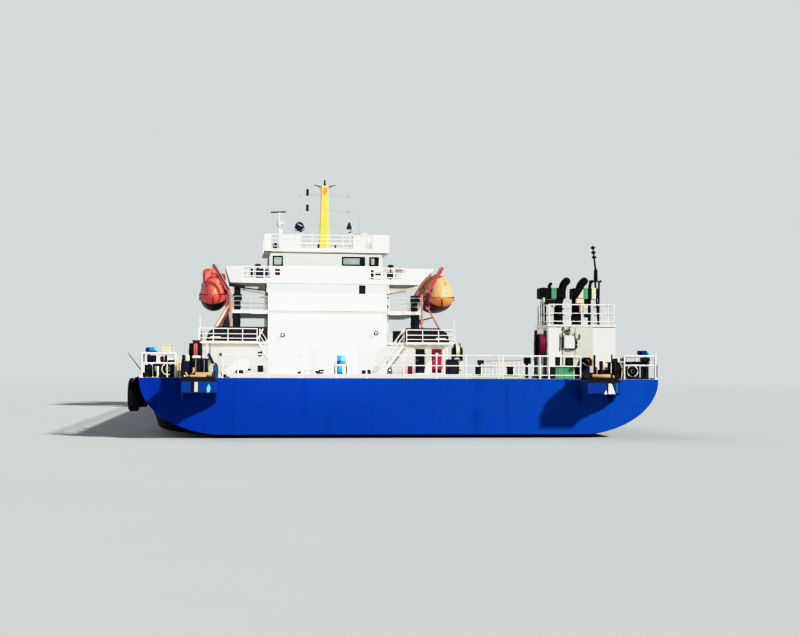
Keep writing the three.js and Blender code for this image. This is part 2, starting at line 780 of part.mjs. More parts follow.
function bridgeDeck() {
  const low = BRIDGE_DECK - BRIDGE_PLATE;
  const wingTop = BRIDGE_DECK + WING.top;
  const { thick } = BULWARK;
  const flare = ({ s, foot, head }, h) => s * (foot + ((head - foot) * (h - low)) / (wingTop - low));
  const [portEnd, starboardEnd] = WING_ENDS;
  const profile = [
    [flare(portEnd, low), low],
    [flare(starboardEnd, low), low],
    [flare(starboardEnd, BRIDGE_DECK), BRIDGE_DECK],
    [flare(portEnd, BRIDGE_DECK), BRIDGE_DECK],
  ];
  const wings = lengthwise(profile, BRIDGE_AFT, WING.fore);
  const middle = box([-BRIDGE.half, BRIDGE.half], [WING.fore - 1, BRIDGE.fore], [low, BRIDGE_DECK]);
  const bulwark = box(BULWARK.x, [BRIDGE_AFT, BRIDGE_AFT + thick], [low + 0.1, BRIDGE_DECK + BULWARK.top]);
  const panels = WING_ENDS.flatMap((end) => {
    const { s, inner } = end;
    const turn = (outline) => (s > 0 ? outline : outline.reverse());
    const face = turn([
      [s * inner, low + 0.1],
      [flare(end, low + 0.1), low + 0.1],
      [flare(end, wingTop), wingTop],
      [s * inner, wingTop],
    ]);
    const side = turn([
      [flare(end, low) - s * thick, low],
      [flare(end, low), low],
      [flare(end, wingTop), wingTop],
      [flare(end, wingTop) - s * thick, wingTop],
    ]);
    return [
      lengthwise(face, BRIDGE_AFT, BRIDGE_AFT + thick),
      lengthwise(face, WING.fore - thick, WING.fore),
      lengthwise(side, BRIDGE_AFT, WING.fore),
    ];
  });
  const edge = 0.05;
  const aft = BRIDGE_AFT + edge;
  const open = [
    [
      [-portEnd.inner, aft],
      [BULWARK.x[0], aft],
    ],
    [
      [BULWARK.x[1], aft],
      [starboardEnd.inner, aft],
    ],
    [
      [starboardEnd.inner, WING.fore - edge],
      [BRIDGE.half - edge, WING.fore - edge],
      [BRIDGE.half - edge, BRIDGE.fore - edge],
      [-BRIDGE.half + edge, BRIDGE.fore - edge],
      [-BRIDGE.half + edge, WING.fore - edge],
      [-portEnd.inner, WING.fore - edge],
    ],
  ];
  const struts = SIDES.flatMap(({ s }) =>
    [44.9, 49.0].map((t) => bar([s * 6.8, t, low + 0.05], [s * (CORE_HALF + 0.06), t, 6.45], 0.12)),
  );
  const feet = SIDES.map(({ s }) => {
    return box([s * (CORE_HALF + 0.02), s * (CORE_HALF + 0.14)], [44.7, 49.2], [6.3, low + 0.1]);
  });
  const railings = open.flatMap((legs) => railing(legs, BRIDGE_DECK, RAIL_PITCH.bridge));
  return join([wings, middle, bulwark, ...panels, ...struts, ...feet, ...railings]);
}

// Wheelhouse windows: aft face x and height ranges, then the sides and the front
const AFT_WINDOWS = [
  { x: [-4.2, -3.43], h: [8.56, 9.3] },
  { x: [1.26, 3.04], h: [8.66, 9.3] },
  { x: [3.4, 4.09], h: [8.66, 9.3] },
];
const WHEELHOUSE = { half: 4.42, fore: 52.4, sill: 8.45, head: 9.3 };

function wheelhouse() {
  const { half, fore, sill, head } = WHEELHOUSE;
  const outline = rectangle([-half, half], [WHEELHOUSE_AFT, fore]);
  const inner = rectangle([-half + WALL, half - WALL], [WHEELHOUSE_AFT + WALL, fore - WALL]);
  const shell = walls(outline, inner, BRIDGE_DECK + GAP, ROOF - ROOF_PLATE - GAP);
  const aft = AFT_WINDOWS.map(({ x, h }) => box(x, [WHEELHOUSE_AFT - 1, WHEELHOUSE_AFT + 1], h));
  const glass = [sill, head];
  const front = [-3.6, -2.2, -0.7, 0.8, 2.3].map((x) => box([x, x + 1.2], [fore - 1, fore + 1], glass));
  const sides = [49.3, 50.8].map((t) => box([-6, 6], [t, t + 1.1], glass));
  const doorways = box([-6, 6], [47.6, 48.4], [BRIDGE_DECK + 0.15, BRIDGE_DECK + 1.95]);
  return cut(shell, [...aft, ...front, ...sides, doorways]);
}

// Compass deck: cambered across, with two lockers and a panel at each end of its aft edge
const COMPASS = { half: 4.9, aft: 45.9, fore: 53.0 };
const LOCKERS = [
  { x: [-3.6, -2.1], t: [46.4, 47.1], top: ROOF + 1.03 },
  { x: [2.06, 3.5], t: [46.4, 47.1], top: ROOF + 1.05 },
  { x: [-4.9, -4.4], t: [45.9, 45.96], top: ROOF + 0.96 },
  { x: [3.55, 4.85], t: [45.9, 45.96], top: ROOF + 1.05 },
];

const CAMBER_STEPS = 8;

function camber(x) {
  return ROOF + 0.1 - ROOF_CAMBER * (x / COMPASS.half) ** 2;
}

function roofOutline(low) {
  const { half } = COMPASS;
  const top = [];
  for (let i = 0; i <= CAMBER_STEPS; i++) {
    const x = half - (2 * half * i) / CAMBER_STEPS;
    top.push([x, camber(x)]);
  }
  return [[-half, low], [half, low], ...top];
}

// Where a post of a given radius stands on the roof's flat facets
function roofSeat(x, radius) {
  const step = (2 * COMPASS.half) / CAMBER_STEPS;
  const near = Math.abs(x) - radius;
  const inner = Math.floor(near / step) * step;
  const share = (near - inner) / step;
  return camber(inner) * (1 - share) + camber(inner + step) * share + GAP;
}

function compassDeck() {
  const { half, aft, fore } = COMPASS;
  const low = ROOF - ROOF_PLATE;
  const plate = lengthwise(roofOutline(low), aft, fore);
  const lockers = LOCKERS.map((row) => box(row.x, row.t, [ROOF - 0.15, row.top]));
  const edge = 0.07;
  const legs = [
    [-half + edge, aft + edge],
    [half - edge, aft + edge],
    [half - edge, fore - edge],
    [-half + edge, fore - edge],
    [-half + edge, aft + edge],
  ];
  return join([plate, ...lockers, ...railing(legs, ROOF - 0.12, RAIL_PITCH.roof, [0.6, 1.05])]);
}

// Mast on the compass deck
const MAST = { x: 0.05, t: 50, foot: 0.82, head: 0.56, top: 15.3 };
const YARDS = [
  { h: 12.05, half: 1.2 },
  { h: 13.25, half: 2.0 },
  { h: 14.5, half: 2.0 },
];

function mast() {
  const { x, t, foot, head, top } = MAST;
  const base = ROOF + 0.1 + GAP;
  const outline = [
    [x - foot / 2, base],
    [x + foot / 2, base],
    [x + head / 2, top],
    [x - head / 2, top],
  ];
  const trunk = lengthwise(outline, t - 0.22, t + 0.22);
  const tree = box([x - 0.9, x + 0.9], [t - 0.3, t + 0.3], [top - 0.05, top + 0.05]);
  const gusset = lengthwise(
    [
      [x - 0.8, top],
      [x + 0.8, top],
      [x + 0.2, top - 0.6],
      [x - 0.2, top - 0.6],
    ],
    t - 0.05,
    t + 0.05,
  );
  const lamp = rod([x, t, top], [x, t, top + 0.6], 0.12);
  const face = t - 0.23;
  const yards = YARDS.map(({ h, half }) => rod([x - half, face, h], [x + half, face, h], 0.045));
  const lights = [14.5, 13.25].map((h) => rod([-1.36, face, h - 0.04], [-1.36, face, h + 0.5], 0.12));
  return join([trunk, tree, gusset, lamp, ...yards, ...lights]);
}

// Radar: a post on the compass deck and the scanner that turns on it
const RADAR = { x: -3.7, t: 48, head: 12.65, post: 0.09, reach: 0.6 };

function radarPedestal() {
  const { x, t, head, post } = RADAR;
  const foot = roofSeat(x, post);
  const stem = rod([x, t, foot], [x, t, head], post);
  const gear = turned(
    [
      [0, -0.25],
      [0.25, -0.2],
      [0.28, 0.1],
      [0.12, 0.3],
      [0, 0.3],
    ],
    "h",
    [x, t, 12.0],
    10,
  );
  return join([stem, gear]);
}

function radarScanner() {
  const { x, t, head, reach } = RADAR;
  const hub = rod([x, t, head + GAP], [x, t, head + 0.16], 0.12, 12);
  const beam = box([x - reach, x + reach], [t - 0.1, t + 0.1], [head + 0.14, head + 0.28]);
  return join([hub, beam]);
}

// Searchlights on posts on the compass deck
const SEARCHLIGHTS = [
  { side: "port", x: -2.1, post: -2.0 },
  { side: "starboard", x: 1.95, post: 1.9 },
];

function searchlight({ x, post }) {
  const t = 47.6;
  const foot = roofSeat(post, 0.06);
  const stem = rod([post, t, foot], [post, t, 11.5], 0.06);
  const yoke = box([x - 0.1, x + 0.1], [t - 0.06, t + 0.1], [11.2, 11.5]);
  const drum = rod([x, t - 0.28, 11.72], [x, t + 0.22, 11.72], 0.36, 12, 0.24);
  return join([stem, yoke, drum]);
}

// A stair runs athwartships, aft of the house
function stair({ s, foot, head }) {
  const t = STAIR_T;
  const top = [s * head, BOAT_DECK - 0.03];
  const low = [s * foot, GAP];
  const stringers = [t - 0.36, t + 0.36].map((y) => {
    const outline = [
      [top[0], top[1]],
      [top[0], top[1] - 0.3],
      [low[0] + s * 0.2, low[1]],
      [low[0], low[1]],
    ];
    return lengthwise(outline, y - 0.03, y + 0.03);
  });
  const treads = [];
  const count = 8;
  for (let i = 1; i <= count; i++) {
    const f = i / (count + 0.6);
    const x = low[0] + s * 0.1 + (top[0] - low[0]) * f;
    const h = low[1] + (top[1] - low[1]) * f - 0.1;
    treads.push(box([x - 0.1, x + 0.1], [t - 0.35, t + 0.35], [h - 0.02, h + 0.02]));
  }
  const hand = [t - 0.36, t + 0.36].flatMap((y) => [
    bar([low[0], y, 1.0], [top[0], y, top[1] + 0.98], 0.05),
    bar([low[0] + s * 0.1, y, 0.05], [low[0] + s * 0.1, y, 1.15], 0.05),
    bar([top[0], y, top[1] - 0.2], [top[0], y, top[1] + 1.0], 0.05),
  ]);
  return join([...stringers, ...treads, ...hand]);
}

// Lifeboats and davits
const DAVIT = {
  pivot: [8.9, 2.95],
  knees: [
    [7.62, 5.2],
    [7.62, 6.4],
  ],
  tip: [8.8, 8.3],
  arms: [43.9, 51.3],
  tie: [8.07, 4.45],
};
const BOAT = { x: 8.8, keel: 4.95, aft: 44.1, fore: 51.1 };

// Half section of a lifeboat: distance from its centreline, height above its keel
const BOAT_SECTION = [
  [0.1, 0],
  [0.6, 0.14],
  [1.0, 0.5],
  [1.2, 0.95],
  [1.26, 1.25],
  [1.2, 1.45],
  [1.05, 1.95],
  [0.78, 2.45],
  [0.45, 2.85],
  [0.12, 3.0],
];

// Boat's stations: share of its length, share of its breadth, rise of its keel, share of its height
const BOAT_STATIONS = [
  { at: 0, wide: 0.3, rise: 0.75, high: 0.5 },
  { at: 0.06, wide: 0.62, rise: 0.4, high: 0.72 },
  { at: 0.2, wide: 0.93, rise: 0.08, high: 0.96 },
  { at: 0.5, wide: 1, rise: 0, high: 1 },
  { at: 0.8, wide: 0.93, rise: 0.1, high: 0.95 },
  { at: 0.93, wide: 0.6, rise: 0.45, high: 0.72 },
  { at: 1, wide: 0.14, rise: 0.9, high: 0.42 },
];

function lifeboat(s) {
  const rings = BOAT_STATIONS.map(({ at, wide, rise, high }) => {
    const t = BOAT.aft + (BOAT.fore - BOAT.aft) * at;
    const top = 3.0 * high;
    const half = BOAT_SECTION.map(([w, z]) => [w * wide, BOAT.keel + rise + (z / 3.0) * (top - rise)]);
    const starboard = half.map(([w, h]) => [s * BOAT.x + w, t, h]);
    const port = half.map(([w, h]) => [s * BOAT.x - w, t, h]).reverse();
    return [...starboard, ...port];
  });
  const hooks = [45.2, 50.0].map((t) =>
    box([s * BOAT.x - 0.09, s * BOAT.x + 0.09], [t - 0.12, t + 0.12], [7.4, DAVIT.tip[1] - 0.06 - GAP]),
  );
  return join([loft(rings), ...hooks]);
}

function davitArms(s) {
  const { pivot, knees, tip, arms, tie } = DAVIT;
  const line = [pivot, ...knees, tip];
  const solids = [];
  arms.forEach((t, i) => {
    const inward = i === 0 ? 1 : -1;
    for (let k = 0; k + 1 < line.length; k++) {
      const [a, b] = [line[k], line[k + 1]];
      solids.push(bar([s * a[0], t, a[1]], [s * b[0], t, b[1]], 0.2, 0.2));
    }
    for (const [x, h] of knees) {
      solids.push(rod([s * x, t - 0.1, h], [s * x, t + 0.1, h], 0.13));
    }
    solids.push(rod([s * pivot[0], t - 0.1, pivot[1]], [s * pivot[0], t + 0.1, pivot[1]], 0.2, 8));
    solids.push(rod([s * pivot[0], t - inward * 0.4, pivot[1]], [s * pivot[0], t, pivot[1]], 0.08, 8));
    const [tipX, tipH] = [s * tip[0], tip[1]];
    solids.push(rod([tipX, t - inward * 0.1, tipH], [tipX, t + inward * 1.45, tipH], 0.06, 8));
  });
  solids.push(rod([s * tie[0], arms[0], tie[1]], [s * tie[0], arms[1], tie[1]], 0.05));
  return join(solids);
}

function davitFrame(side, s) {
  const floor = BOAT_DECK + GAP;
  const { pivot, arms } = DAVIT;
  const sheet = [
    [s * 4.75, floor],
    [s * 9.3, floor],
    [s * 9.1, 3.2],
    [s * 8.5, 3.6],
    [s * 4.75, 3.6],
  ];
  const near = arms[0] - 0.15 - GAP;
  const far = arms[1] + 0.15 + GAP;
  const plates = [lengthwise(sheet, near - 0.3, near), lengthwise(sheet, far, far + 0.3)];
  const cx = [s * COLUMN.x[0], s * COLUMN.x[1]].sort((a, b) => a - b);
  const column = box(cx, COLUMN.t, [floor, COLUMN.top[side]]);
  const skid = box(cx, [near - 0.2, far + 0.2], [floor, 2.8]);
  const post = box([s * 7.3 - 0.07, s * 7.3 + 0.07], [near - 0.22, near - 0.08], [3.5, 6.2]);
  const bore = rod([s * pivot[0], near - 1, pivot[1]], [s * pivot[0], far + 1, pivot[1]], 0.0819, 16);
  return join([...plates, column, skid, post]).subtract(bore);
}

// Forecastle, its bulwark and the windlass
const FORECASTLE = { aft: 61.5, top: 1.4, bulwark: 1.0 };

// Plan of the deck's edge forward of a place, drawn in by an inset
function foreRing(inset, from) {
  const next = SECTIONS.findIndex(({ t }) => t > from);
  const [a, b] = [SECTIONS[next - 1], SECTIONS[next]];
  const start = a.deck + ((b.deck - a.deck) * (from - a.t)) / (b.t - a.t);
  const edge = SECTIONS.slice(next).map(({ t, deck }) => [deck - inset, Math.min(t, LENGTH - inset)]);
  const right = [[start - inset, from], ...edge];
  const left = right.map(([x, t]) => [-x, t]).reverse();
  return [...right, ...left];
}

function forecastle() {
  return upright(foreRing(0.02, FORECASTLE.aft), GAP, FORECASTLE.top);
}

function foreBulwark() {
  const { aft, top, bulwark } = FORECASTLE;
  const outer = upright(foreRing(0.04, aft), top + GAP, top + bulwark);
  const inner = upright(foreRing(0.2, aft - 1), top - 1, top + 2);
  return outer.subtract(inner);
}

const WINDLASS = { t: 63, h: FORECASTLE.top + 0.75, flange: 0.5, core: 0.28, half: 0.9 };

function windlassFrame() {
  const { t, h, half } = WINDLASS;
  const floor = FORECASTLE.top + GAP;
  const base = box([-half - 0.4, half + 0.4], [t - 0.7, t + 0.7], [floor, floor + 0.1]);
  const stands = [-1, 1].map((s) => {
    const face = s * (half + 0.14);
    const outline = [
      [t - 0.5, floor + 0.05],
      [t + 0.5, floor + 0.05],
      [t + 0.18, h + 0.18],
      [t - 0.18, h + 0.18],
    ];
    return crosswise(outline, face - 0.06, face + 0.06);
  });
  const bore = rod([-3, t, h], [3, t, h], 0.0826, 16);
  return join([base, ...stands]).subtract(bore);
}

function windlassDrum() {
  const { t, h, flange, core, half } = WINDLASS;
  const profile = [
    [0, -half - 0.6],
    [0.25, -half - 0.6],
    [0.2, -half - 0.3],
    [0.08, -half - 0.25],
    [0.08, -half],
    [flange, -half],
    [flange, -half + 0.08],
    [core, -half + 0.08],
    [core, half - 0.08],
    [flange, half - 0.08],
    [flange, half],
    [0.08, half],
    [0.08, half + 0.25],
    [0.2, half + 0.3],
    [0.25, half + 0.6],
    [0, half + 0.6],
  ];
  return turned(profile, "x", [0, t, h]);
}

// Green locker by the stern rail
function deckBox() {
  return join([
    box([7.0, 7.9], [1.0, 1.7], [GAP, 0.55]),
    box([6.97, 7.93], [0.97, 1.73], [0.5, 0.58]),
  ]);
}

// Assembly

const ship = new THREE.Group();
ship.scale.setScalar(SCALE * 1000);

const hullFrame = new THREE.Group();
hullFrame.position.set(0, -LENGTH / 2, 0);

const deckFrame = new THREE.Group();
deckFrame.position.set(0, -LENGTH / 2, DEPTH);

ship.add(hullFrame, deckFrame);

function place(group, name, paint, solid) {
  const [color, roughness] = PAINT[paint];
  const metalness = paint === "bronze" ? 0.8 : 0.1;
  const material = new THREE.MeshStandardMaterial({ color, roughness, metalness });
  const mesh = new THREE.Mesh(geometryOf(solid), material);
  mesh.name = name;
  group.add(mesh);
}

place(hullFrame, "hull", "hull", hull());
SPONSONS.forEach((row) => place(hullFrame, `sponson_${row.side}`, "hull", sponson(row)));
for (const { side, s } of SIDES) {
  place(hullFrame, `skeg_${side}`, "black", skeg(s));
  place(hullFrame, `propeller_${side}`, "bronze", screw(s));
  place(hullFrame, `rudder_${side}`, "black", rudder(s));
}
place(hullFrame, "tyre_fender", "rubber", tyreFender());

SPONSONS.forEach((row) => place(deckFrame, `fairlead_${row.side}`, "steel", fairlead(row)));
for (const { side, s } of SIDES) {
  place(deckFrame, `winch_frame_${side}`, "steel", winchFrame(side));
  place(deckFrame, `winch_drum_${side}`, "steel", winchDrum(side));
  place(deckFrame, `side_rail_${side}`, "white", sideRail(s));
  place(deckFrame, `davit_frame_${side}`, "black", davitFrame(side, s));
  place(deckFrame, `davit_arms_${side}`, "pink", davitArms(s));
  place(deckFrame, `lifeboat_${side}`, "orange", lifeboat(s));
}
STAIRS.forEach((row) => place(deckFrame, `stair_${row.side}`, "white", stair(row)));
for (const row of REELS) {
  place(deckFrame, `reel_frame_${row.name}`, "steel", reelFrame(row));
  place(deckFrame, `reel_${row.name}`, "red", reelDrum(row));
}
place(deckFrame, "stern_rail", "white", sternRail());
place(deckFrame, "deck_box", "green", deckBox());
place(deckFrame, "engine_casing", "white", engineCasing());
SILENCERS.forEach((row) => place(deckFrame, `exhaust_${row.name}`, "green", exhaust(row)));
place(deckFrame, "casing_mast", "black", casingMast());

place(deckFrame, "main_house", "white", mainHouse());
DOORWAYS.forEach((row) => place(deckFrame, `door_${row.name}`, "red", doorLeaf(row)));
place(deckFrame, "boat_deck", "white", boatDeck());
place(deckFrame, "second_house", "white", secondHouse());
place(deckFrame, "gallery_deck", "white", galleryDeck());
place(deckFrame, "third_house", "white", thirdHouse());
place(deckFrame, "bridge_deck", "white", bridgeDeck());
place(deckFrame, "wheelhouse", "white", wheelhouse());
place(deckFrame, "compass_deck", "white", compassDeck());
place(deckFrame, "mast", "yellow", mast());
place(deckFrame, "radar_pedestal", "white", radarPedestal());
place(deckFrame, "radar_scanner", "steel", radarScanner());
SEARCHLIGHTS.forEach((row) => place(deckFrame, `searchlight_${row.side}`, "steel", searchlight(row)));
place(deckFrame, "forecastle", "hull", forecastle());
place(deckFrame, "fore_bulwark", "black", foreBulwark());
place(deckFrame, "windlass_frame", "steel", windlassFrame());
place(deckFrame, "windlass_drum", "steel", windlassDrum());

export default ship;
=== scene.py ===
# River barge at half scale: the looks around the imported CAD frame.
# Places are (x, t, h) in full-size metres: x to starboard, t forward of the transom, h above the main deck.
import itertools
import math

import bmesh
import bpy
from mathutils import Matrix, Vector


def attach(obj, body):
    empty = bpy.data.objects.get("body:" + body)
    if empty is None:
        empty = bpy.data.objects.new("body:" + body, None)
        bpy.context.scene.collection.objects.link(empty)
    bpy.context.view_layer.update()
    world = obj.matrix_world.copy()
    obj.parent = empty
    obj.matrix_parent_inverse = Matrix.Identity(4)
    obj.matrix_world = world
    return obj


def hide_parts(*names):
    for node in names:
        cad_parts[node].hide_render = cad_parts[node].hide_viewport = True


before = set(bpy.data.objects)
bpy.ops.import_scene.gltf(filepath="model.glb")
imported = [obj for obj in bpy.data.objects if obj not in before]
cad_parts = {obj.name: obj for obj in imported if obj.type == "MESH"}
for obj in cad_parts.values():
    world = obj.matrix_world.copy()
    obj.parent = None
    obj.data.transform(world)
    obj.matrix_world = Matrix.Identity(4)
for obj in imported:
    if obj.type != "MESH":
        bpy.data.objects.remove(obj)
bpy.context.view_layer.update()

SCALE, MIDSHIP, DEPTH, WATERLINE = 0.5, 34, 4.8, 2.2
SIDES = [("port", -1), ("starboard", 1)]
BOAT_X, KEEL = 8.8, 4.95  # Middle and lowest place of each lifeboat
FORE_DECK = 1.4  # Height of the forecastle
CAMERA = {"x": -7.8133, "t": -58.198, "h": 0.3669, "yaw": 0.1295, "pitch": 0.039, "roll": 0.0047,
          "focal": 1337.49}
PICTURE_WIDTH, SENSOR = 800, 36
SKY, SKY_LEVEL = (0.93, 1.0, 1.0), 0.6
SHOULDER = [(0, 0), (0.4, 0.4), (0.65, 0.64), (0.85, 0.725), (1.3, 0.78), (4, 0.84)]


def at(x, t, h):
    return Vector((x * SCALE, (t - MIDSHIP) * SCALE, (h + DEPTH) * SCALE))


# Camera, light and floor

def make_camera():
    c = CAMERA
    data = bpy.data.cameras.new("camera")
    data.sensor_width = SENSOR
    data.lens = SENSOR * c["focal"] / PICTURE_WIDTH
    data.clip_end = 4000
    level = math.cos(c["pitch"])
    ahead = Vector((math.sin(c["yaw"]) * level, math.cos(c["yaw"]) * level, math.sin(c["pitch"])))
    right = Vector((math.cos(c["yaw"]), -math.sin(c["yaw"]), 0))
    up = right.cross(ahead)
    tilt = Matrix.Rotation(-c["roll"], 3, ahead)
    turn = Matrix((tilt @ right, tilt @ up, -ahead)).transposed().to_4x4()
    camera = bpy.data.objects.new("camera", data)
    camera.matrix_world = Matrix.Translation(at(c["x"], c["t"], c["h"])) @ turn
    bpy.context.scene.collection.objects.link(camera)
    bpy.context.scene.camera = camera


def add_light(name, kind, energy, way, colour=(1, 1, 1), place=(0, 0, 30), **settings):
    data = bpy.data.lights.new(name, kind)
    data.energy, data.color = energy, colour
    for key, value in settings.items():
        setattr(data, key, value)
    lamp = bpy.data.objects.new(name, data)
    lamp.location = place
    lamp.rotation_euler = Vector(way).to_track_quat("-Z", "Y").to_euler()
    bpy.context.scene.collection.objects.link(lamp)


def make_world():
    world = bpy.data.worlds.new("studio")
    bpy.context.scene.world = world
    world.use_nodes = True
    tree = world.node_tree
    tree.nodes.clear()
    shaders = []
    for colour, level in (((0.9, 0.95, 1.0), 0.13), (SKY, SKY_LEVEL)):
        node = tree.nodes.new("ShaderNodeBackground")
        node.inputs["Color"].default_value = (*colour, 1)
        node.inputs["Strength"].default_value = level
        shaders.append(node.outputs[0])
    path = tree.nodes.new("ShaderNodeLightPath")
    mix = tree.nodes.new("ShaderNodeMixShader")
    out = tree.nodes.new("ShaderNodeOutputWorld")
    for a, b in zip([path.outputs["Is Camera Ray"], *shaders], mix.inputs):
        tree.links.new(a, b)
    tree.links.new(mix.outputs[0], out.inputs[0])
    bpy.context.scene.view_settings.view_transform = "Standard"
    bpy.context.scene.view_settings.look = "Medium High Contrast"


def soften_highlights():
    """Tone curve with a shoulder, so that sunlit white paint keeps its detail."""
    view = bpy.context.scene.view_settings
    view.use_curve_mapping = True
    mapping = view.curve_mapping
    mapping.clip_max_x = mapping.clip_max_y = 4
    curve = mapping.curves[3]
    for value, shown in SHOULDER[1:-1]:
        curve.points.new(value, shown)
    for point, place in zip(curve.points, SHOULDER):
        point.location = place
        point.handle_type = "AUTO_CLAMPED"
    mapping.update()


make_camera()
make_world()
soften_highlights()
add_light("key", "SUN", 6.0, (-0.645, 0.529, -0.553), (1.0, 0.975, 0.94), angle=math.radians(4))
add_light("rim", "SUN", 1.1, (0.6, -0.62, -0.5), (0.95, 0.98, 1.0), angle=math.radians(60))
HOUSE_LAMP = at(-14, -85, 13)
add_light("house_fill", "SPOT", 105000, at(-0.5, 46, 7.5) - HOUSE_LAMP, place=HOUSE_LAMP,
          spot_size=math.radians(10.5), spot_blend=0.25, shadow_soft_size=2)


# Materials

def rgb(code):
    parts = [int(code[i:i + 2], 16) / 255 for i in (1, 3, 5)]
    return tuple(p / 12.92 if p <= 0.04045 else ((p + 0.055) / 1.055) ** 2.4 for p in parts)


def tone(colour, factor):
    return tuple(min(1.0, c * factor) for c in colour)


class Tree:
    """A material's nodes, made one call at a time."""

    def __init__(self, name):
        self.name = name
        self.material = bpy.data.materials.new(name)
        self.material.use_nodes = True
        self.nodes = self.material.node_tree.nodes
        self.links = self.material.node_tree.links
        self.shader = self.nodes["Principled BSDF"]
        self.where = self.nodes.new("ShaderNodeTexCoord").outputs["Object"]
        self.x, self.y, self.z = self.make("ShaderNodeSeparateXYZ", {0: self.where}).outputs

    def feed(self, socket, value):
        if isinstance(value, bpy.types.NodeSocket):
            self.links.new(value, socket)
        else:
            socket.default_value = (*value, 1) if socket.type == "RGBA" else value

    def make(self, kind, inputs, **settings):
        node = self.nodes.new(kind)
        for key, value in settings.items():
            setattr(node, key, value)
        for key, value in inputs.items():
            self.feed(node.inputs[key], value)
        return node

    def math(self, what, a, b=0.0):
        return self.make("ShaderNodeMath", {0: a, 1: b}, operation=what).outputs[0]

    def remap(self, value, low, high, start=0.0, end=1.0):
        return self.make("ShaderNodeMapRange", {0: value, 1: low, 2: high, 3: start, 4: end}).outputs[0]

    def mix(self, share, a, b):
        return self.make("ShaderNodeMix", {0: share, 6: a, 7: b}, data_type="RGBA").outputs[2]

    def noise(self, scale, detail=3.0, stretch=(1, 1, 1), rough=0.55):
        where = self.make("ShaderNodeVectorMath", {0: self.where, 1: stretch},
                          operation="MULTIPLY").outputs[0]
        inputs = {"Vector": where, "Scale": scale, "Detail": detail, "Roughness": rough}
        return self.make("ShaderNodeTexNoise", inputs).outputs[0]

    def bump(self, height, distance, strength=1.0, under=None):
        inputs = {"Height": height, "Distance": distance, "Strength": strength}
        if under:
            inputs["Normal"] = under
        return self.make("ShaderNodeBump", inputs).outputs[0]

    def finish(self, colour, roughness, normal):
        self.feed(self.shader.inputs["Base Color"], colour)
        self.feed(self.shader.inputs["Roughness"], roughness)
        self.feed(self.shader.inputs["Normal"], normal)
        PAINTS[self.name] = self.material


PAINTS = {}


def paint(name, code, rough=0.45, metal=0.0, mottle=0.1, streak=None, chips=None, seams=None, buckle=0.0,
          grain=0.002, waterline_band_and_shade=None, keel=None, floor=None, grade=None, patch=None, gloss=0.3):
    """Painted or bare surface. mottle is its uneven tone, streak its run-down dirt, chips its flaked spots,
    seams its plate joints and buckle its waviness. patch is a second tone in broad blots, grade one along x,
    boot one low down: a black waterline band, raised on the hull's sides into painted shade under the
    transom's curve; floor one at the foot; and keel one below a line that curves up from a boat's keel,
    which is bottom paint and painted shade under the boat."""
    tree = Tree(name)
    colour = rgb(code)
    fine = tree.noise(11.0, 4.0)
    shade = tree.math("ADD", tree.math("MULTIPLY", tree.noise(0.7, 4.0), 0.65),
                      tree.math("MULTIPLY", fine, 0.35))
    skin = tree.mix(tree.remap(shade, 0.38, 0.62), tone(colour, 1 - mottle), tone(colour, 1 + mottle))
    height = fine
    # A tone along x; on the lifeboats it is painted shade, darker towards their outboard side.
    if grade:
        start, end, share, far_code = grade
        skin = tree.mix(tree.remap(tree.x, start, end, 0, share), skin, rgb(far_code))
    if patch:
        second, scale, low, high = patch
        skin = tree.mix(tree.remap(tree.noise(scale, 2.5), low, high), skin, rgb(second))
    # A black band low down: waterline paint on the transom, raised on the hull's sides into painted shade.
    if waterline_band_and_shade:
        stern, side, low_code = waterline_band_and_shade
        transom = -MIDSHIP * SCALE
        level = tree.remap(tree.y, transom + 0.013, transom + 0.02, stern, side)
        depth = tree.math("SUBTRACT", tree.math("ADD", tree.z, tree.math("MULTIPLY", tree.noise(5.0), 0.016)),
                          level)
        skin = tree.mix(tree.remap(depth, 0.014, 0.006), skin, rgb(low_code))
    if floor:
        level, floor_code = floor
        skin = tree.mix(tree.remap(tree.z, level - 0.004, level - 0.001), skin, rgb(floor_code))
    # A dark bottom below a curve that rises from a boat's keel: bottom paint and painted shade under the
    # boat.
    if keel:
        centre, level, low_code = keel
        off = tree.math("SUBTRACT", tree.x, centre)
        line = tree.math("MULTIPLY", tree.math("MULTIPLY", off, off), KEEL_RISE)
        depth = tree.math("SUBTRACT", tree.z, tree.math("ADD", line, level))
        skin = tree.mix(tree.remap(depth, 0.006, -0.006), skin, rgb(low_code))
    if seams:
        plane, wide, high = seams
        wall = plane == "wall"
        across = tree.math("ADD", tree.x, tree.y) if wall else tree.x
        where = tree.make("ShaderNodeCombineXYZ", {0: across, 1: tree.z if wall else tree.y}).outputs[0]
        plates = tree.make("ShaderNodeTexBrick", {"Vector": where, "Scale": 1.0, "Mortar Size": 0.006,
                                                  "Mortar Smooth": 0.6, "Brick Width": wide,
                                                  "Row Height": high})
        plates.offset = 0.5 if wall else 0.0
        joint = plates.outputs["Fac"]
        skin = tree.mix(tree.math("MULTIPLY", joint, 0.18), skin, tone(colour, 0.6))
        height = tree.math("ADD", fine, tree.math("MULTIPLY", joint, 2.0))
    if streak:
        dirt, amount = streak
        runs = tree.remap(tree.noise(1.0, 4.0, (3.4, 3.4, 0.3)), 0.52, 0.74)
        mask = tree.math("MULTIPLY", runs, tree.remap(tree.noise(1.6, 2.0), 0.42, 0.62))
        skin = tree.mix(tree.math("MULTIPLY", mask, amount), skin, rgb(dirt))
    if chips:
        bare, amount = chips
        flecks = tree.noise(16.0, 5.0, rough=0.7)
        skin = tree.mix(tree.remap(flecks, 0.72 - 0.14 * amount, 0.75 - 0.14 * amount), skin, rgb(bare))
    tree.shader.inputs["Metallic"].default_value = metal
    tree.shader.inputs["Specular IOR Level"].default_value = gloss
    normal = tree.bump(height, grain, 0.6)
    if buckle:
        normal = tree.bump(tree.noise(1.3, 2.0), buckle, 0.5, normal)
    tree.finish(skin, tree.remap(fine, 0.3, 0.7, max(0.05, rough - 0.08), min(1.0, rough + 0.12)), normal)


